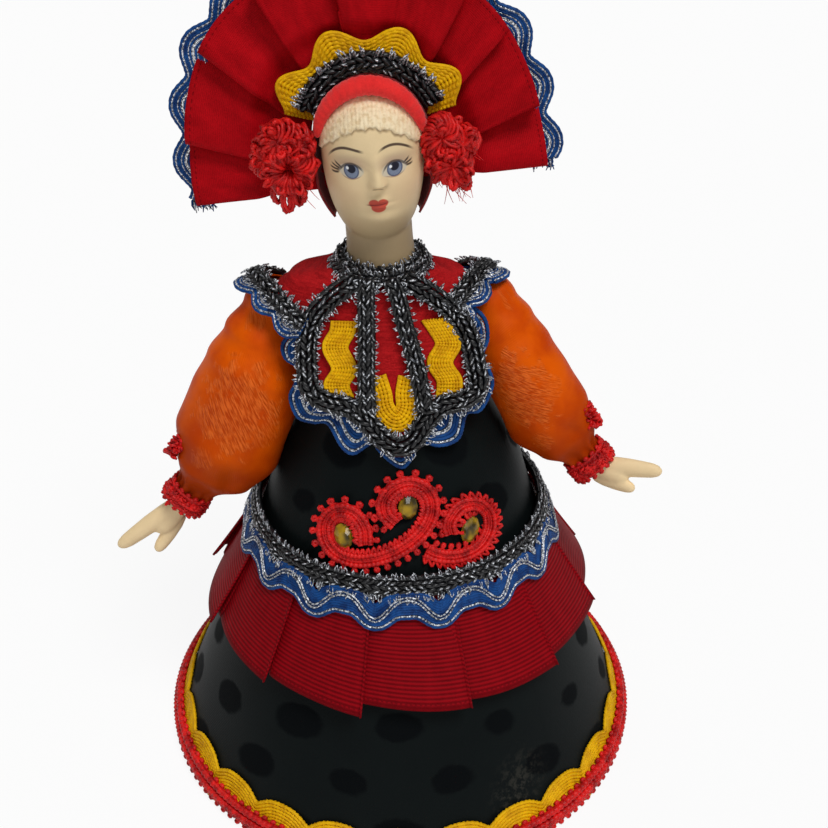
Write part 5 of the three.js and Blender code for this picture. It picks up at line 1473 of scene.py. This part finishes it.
def hand_part(start, end, sections, groove=0.0):
    """A tapering form from start to end. A groove presses lines between the fingers into it."""
    start, end = np.array(start, float), np.array(end, float)
    direction, length = unit(end - start), np.linalg.norm(end - start)
    across, up = square_to(direction)
    distance, wide, deep = np.array(sections).T * [[length], [1], [1]]
    steps = np.linspace(0, 1, len(sections))

    def place(u, v):
        far, a, b = (np.interp(v, steps, row) for row in (distance, wide, deep))
        ending = np.sqrt(np.clip(1 - v ** 16, 0, 1))
        around = u * TURN
        line = hump(np.mod(np.sin(around) * 2 + 0.5, 1) - 0.5, 0.12)
        pressed = 1 - groove * ease(v, 0.45, 0.7) * np.abs(np.sin(around)) ** 0.5 * line
        point = start + direction * far[:, None] + across * (b * ending * pressed * np.cos(around))[:, None]
        return point + up * (a * ending * np.sin(around))[:, None]
    return sheet("hand_part", "bisque", 48, 60, place, wrap=True, caps=True)


def make_hand(name, arm, body):
    """Fingers, palm and thumb as three tapering forms, fused by a fine remesh and smoothed."""
    cuff, down = sleeve_line(arm, CUFF)
    wrist = cuff + down * 1.5
    shape = bmesh.new()
    for part in (hand_part(wrist, arm["tip"], FINGERS, 0.1), hand_part(wrist, arm["palm"], PALM),
                 hand_part(*arm["thumb"], THUMB)):
        shape.from_mesh(part.data)
        bpy.data.objects.remove(part)
    bmesh.ops.scale(shape, vec=(1 / MM, 1 / MM, 1 / MM), verts=shape.verts)
    hand = settle(shape, f"bisque_hand_{name}", ["bisque"])
    remesh = hand.modifiers.new("fuse", "REMESH")
    remesh.mode, remesh.voxel_size, remesh.use_smooth_shade = "VOXEL", 0.28 * MM, True
    smooth = hand.modifiers.new("soften", "SMOOTH")
    smooth.factor, smooth.iterations = 0.5, 22
    mesh = bpy.data.meshes.new_from_object(hand.evaluated_get(bpy.context.evaluated_depsgraph_get()))
    hand.modifiers.clear()
    hand.data = mesh
    fit(hand, body, f"hand_{name}")


def make_arms():
    for name, arm in ARMS.items():
        for make in (make_sleeve, make_filling, make_cuff, make_tuft, make_hand):
            make(name, arm, f"arm_{name}")


# The solids whose own shape is right keep it, with a finish
BARE = {
    "card": ("base_disc", "body_cone", "fan_backing"),
    "wood": ("neck_dowel",),
    "steel wire": ("shoulder_wire", "wire_bend_left", "wire_bend_right", "arm_wire_left", "arm_wire_right"),
    "olive glass": ("stone_left", "stone_middle", "stone_right"),
}


def dress_nodes():
    for finish, names in BARE.items():
        for name in names:
            for slot in bpy.data.objects[name].material_slots:
                slot.material = FINISHES[finish]


# Room, lamps and camera
WHITE = (1, 1, 1, 1)
WORLD_LIGHT = 0.19
FLOOR_SIZE = 6
FLOOR_GLOW = 0.9

# Strength, width in degrees and direction of each lamp
LAMPS = {
    "key": (1.9, 22, (-0.3, 0.4, -1.0)),
    "front": (0.36, 50, (0.15, 1.0, -0.5)),
    "rim": (0.35, 40, (0.6, -0.9, -0.8)),
}

# The camera as fitted to the photo: place in metres, degrees turned up from straight down, lens and film
CAMERA_PLACE = (0.0038, -0.2895, 0.2885)
CAMERA_TILT = 56.3
LENS, FILM = 60.87, 36


def make_world():
    """White all round where the camera sees it, and a dim light for everything else."""
    world = bpy.data.worlds.new("studio")
    bpy.context.scene.world = world
    world.use_nodes = True
    nodes, links = world.node_tree.nodes, world.node_tree.links
    path = nodes.new("ShaderNodeLightPath")
    seen = nodes.new("ShaderNodeMath")
    seen.operation = "MAXIMUM"
    links.new(path.outputs["Is Camera Ray"], seen.inputs[0])
    links.new(path.outputs["Is Transmission Ray"], seen.inputs[1])
    strength = nodes.new("ShaderNodeMapRange")
    strength.inputs[3].default_value, strength.inputs[4].default_value = WORLD_LIGHT, 1.0
    links.new(seen.outputs[0], strength.inputs[0])
    links.new(strength.outputs[0], nodes["Background"].inputs["Strength"])
    nodes["Background"].inputs["Color"].default_value = WHITE


def make_floor():
    """A pale floor that looks as white as the world behind it."""
    bpy.ops.mesh.primitive_plane_add(size=FLOOR_SIZE)
    floor = bpy.context.object
    floor.name = "floor"
    finish = Finish("white floor", Roughness=0.95, Specular_IOR_Level=0.1, Emission_Color=WHITE,
                    Base_Color=(0.85, 0.85, 0.85, 1))
    nodes, links = finish.tree.nodes, finish.tree.links
    path = nodes.new("ShaderNodeLightPath")
    glow = nodes.new("ShaderNodeEmission")
    glow.inputs["Strength"].default_value = 1.0
    mixer = nodes.new("ShaderNodeMixShader")
    seen = Number(finish, path.outputs["Is Camera Ray"]).most(Number(finish, path.outputs["Is Glossy Ray"]))
    finish.feed(mixer.inputs[0], seen * FLOOR_GLOW)
    links.new(finish.shader.outputs[0], mixer.inputs[1])
    links.new(glow.outputs[0], mixer.inputs[2])
    links.new(mixer.outputs[0], nodes["Material Output"].inputs["Surface"])
    floor.data.materials.append(finish.material)


def make_lamps():
    for label, (strength, spread, aim) in LAMPS.items():
        lamp = bpy.data.lights.new(label, "SUN")
        lamp.energy, lamp.angle = strength, math.radians(spread)
        holder = bpy.data.objects.new(label, lamp)
        holder.rotation_euler = Vector(aim).to_track_quat("-Z", "Y").to_euler()
        bpy.context.scene.collection.objects.link(holder)


def make_camera():
    scene = bpy.context.scene
    camera = bpy.data.cameras.new("camera")
    camera.sensor_width, camera.lens = FILM, LENS
    camera.clip_start, camera.clip_end = 0.01, 20
    eye = bpy.data.objects.new("camera", camera)
    eye.location = CAMERA_PLACE
    eye.rotation_euler = (math.radians(CAMERA_TILT), 0, 0)
    scene.collection.objects.link(eye)
    scene.camera = eye
    scene.view_settings.view_transform = "Standard"


for make in (make_world, make_floor, make_lamps, make_camera, dress_nodes,
             make_skirt, make_hem, make_peplum, make_waist, make_belt, make_yoke, make_bust,
             make_bib_ricrac, make_bib_panel, make_bib_braids, make_bib_yellows, make_straps, make_collar,
             make_head, make_cap, make_headband, make_crown, make_fan, make_fan_ricrac, make_rosettes,
             make_arms):
    make()
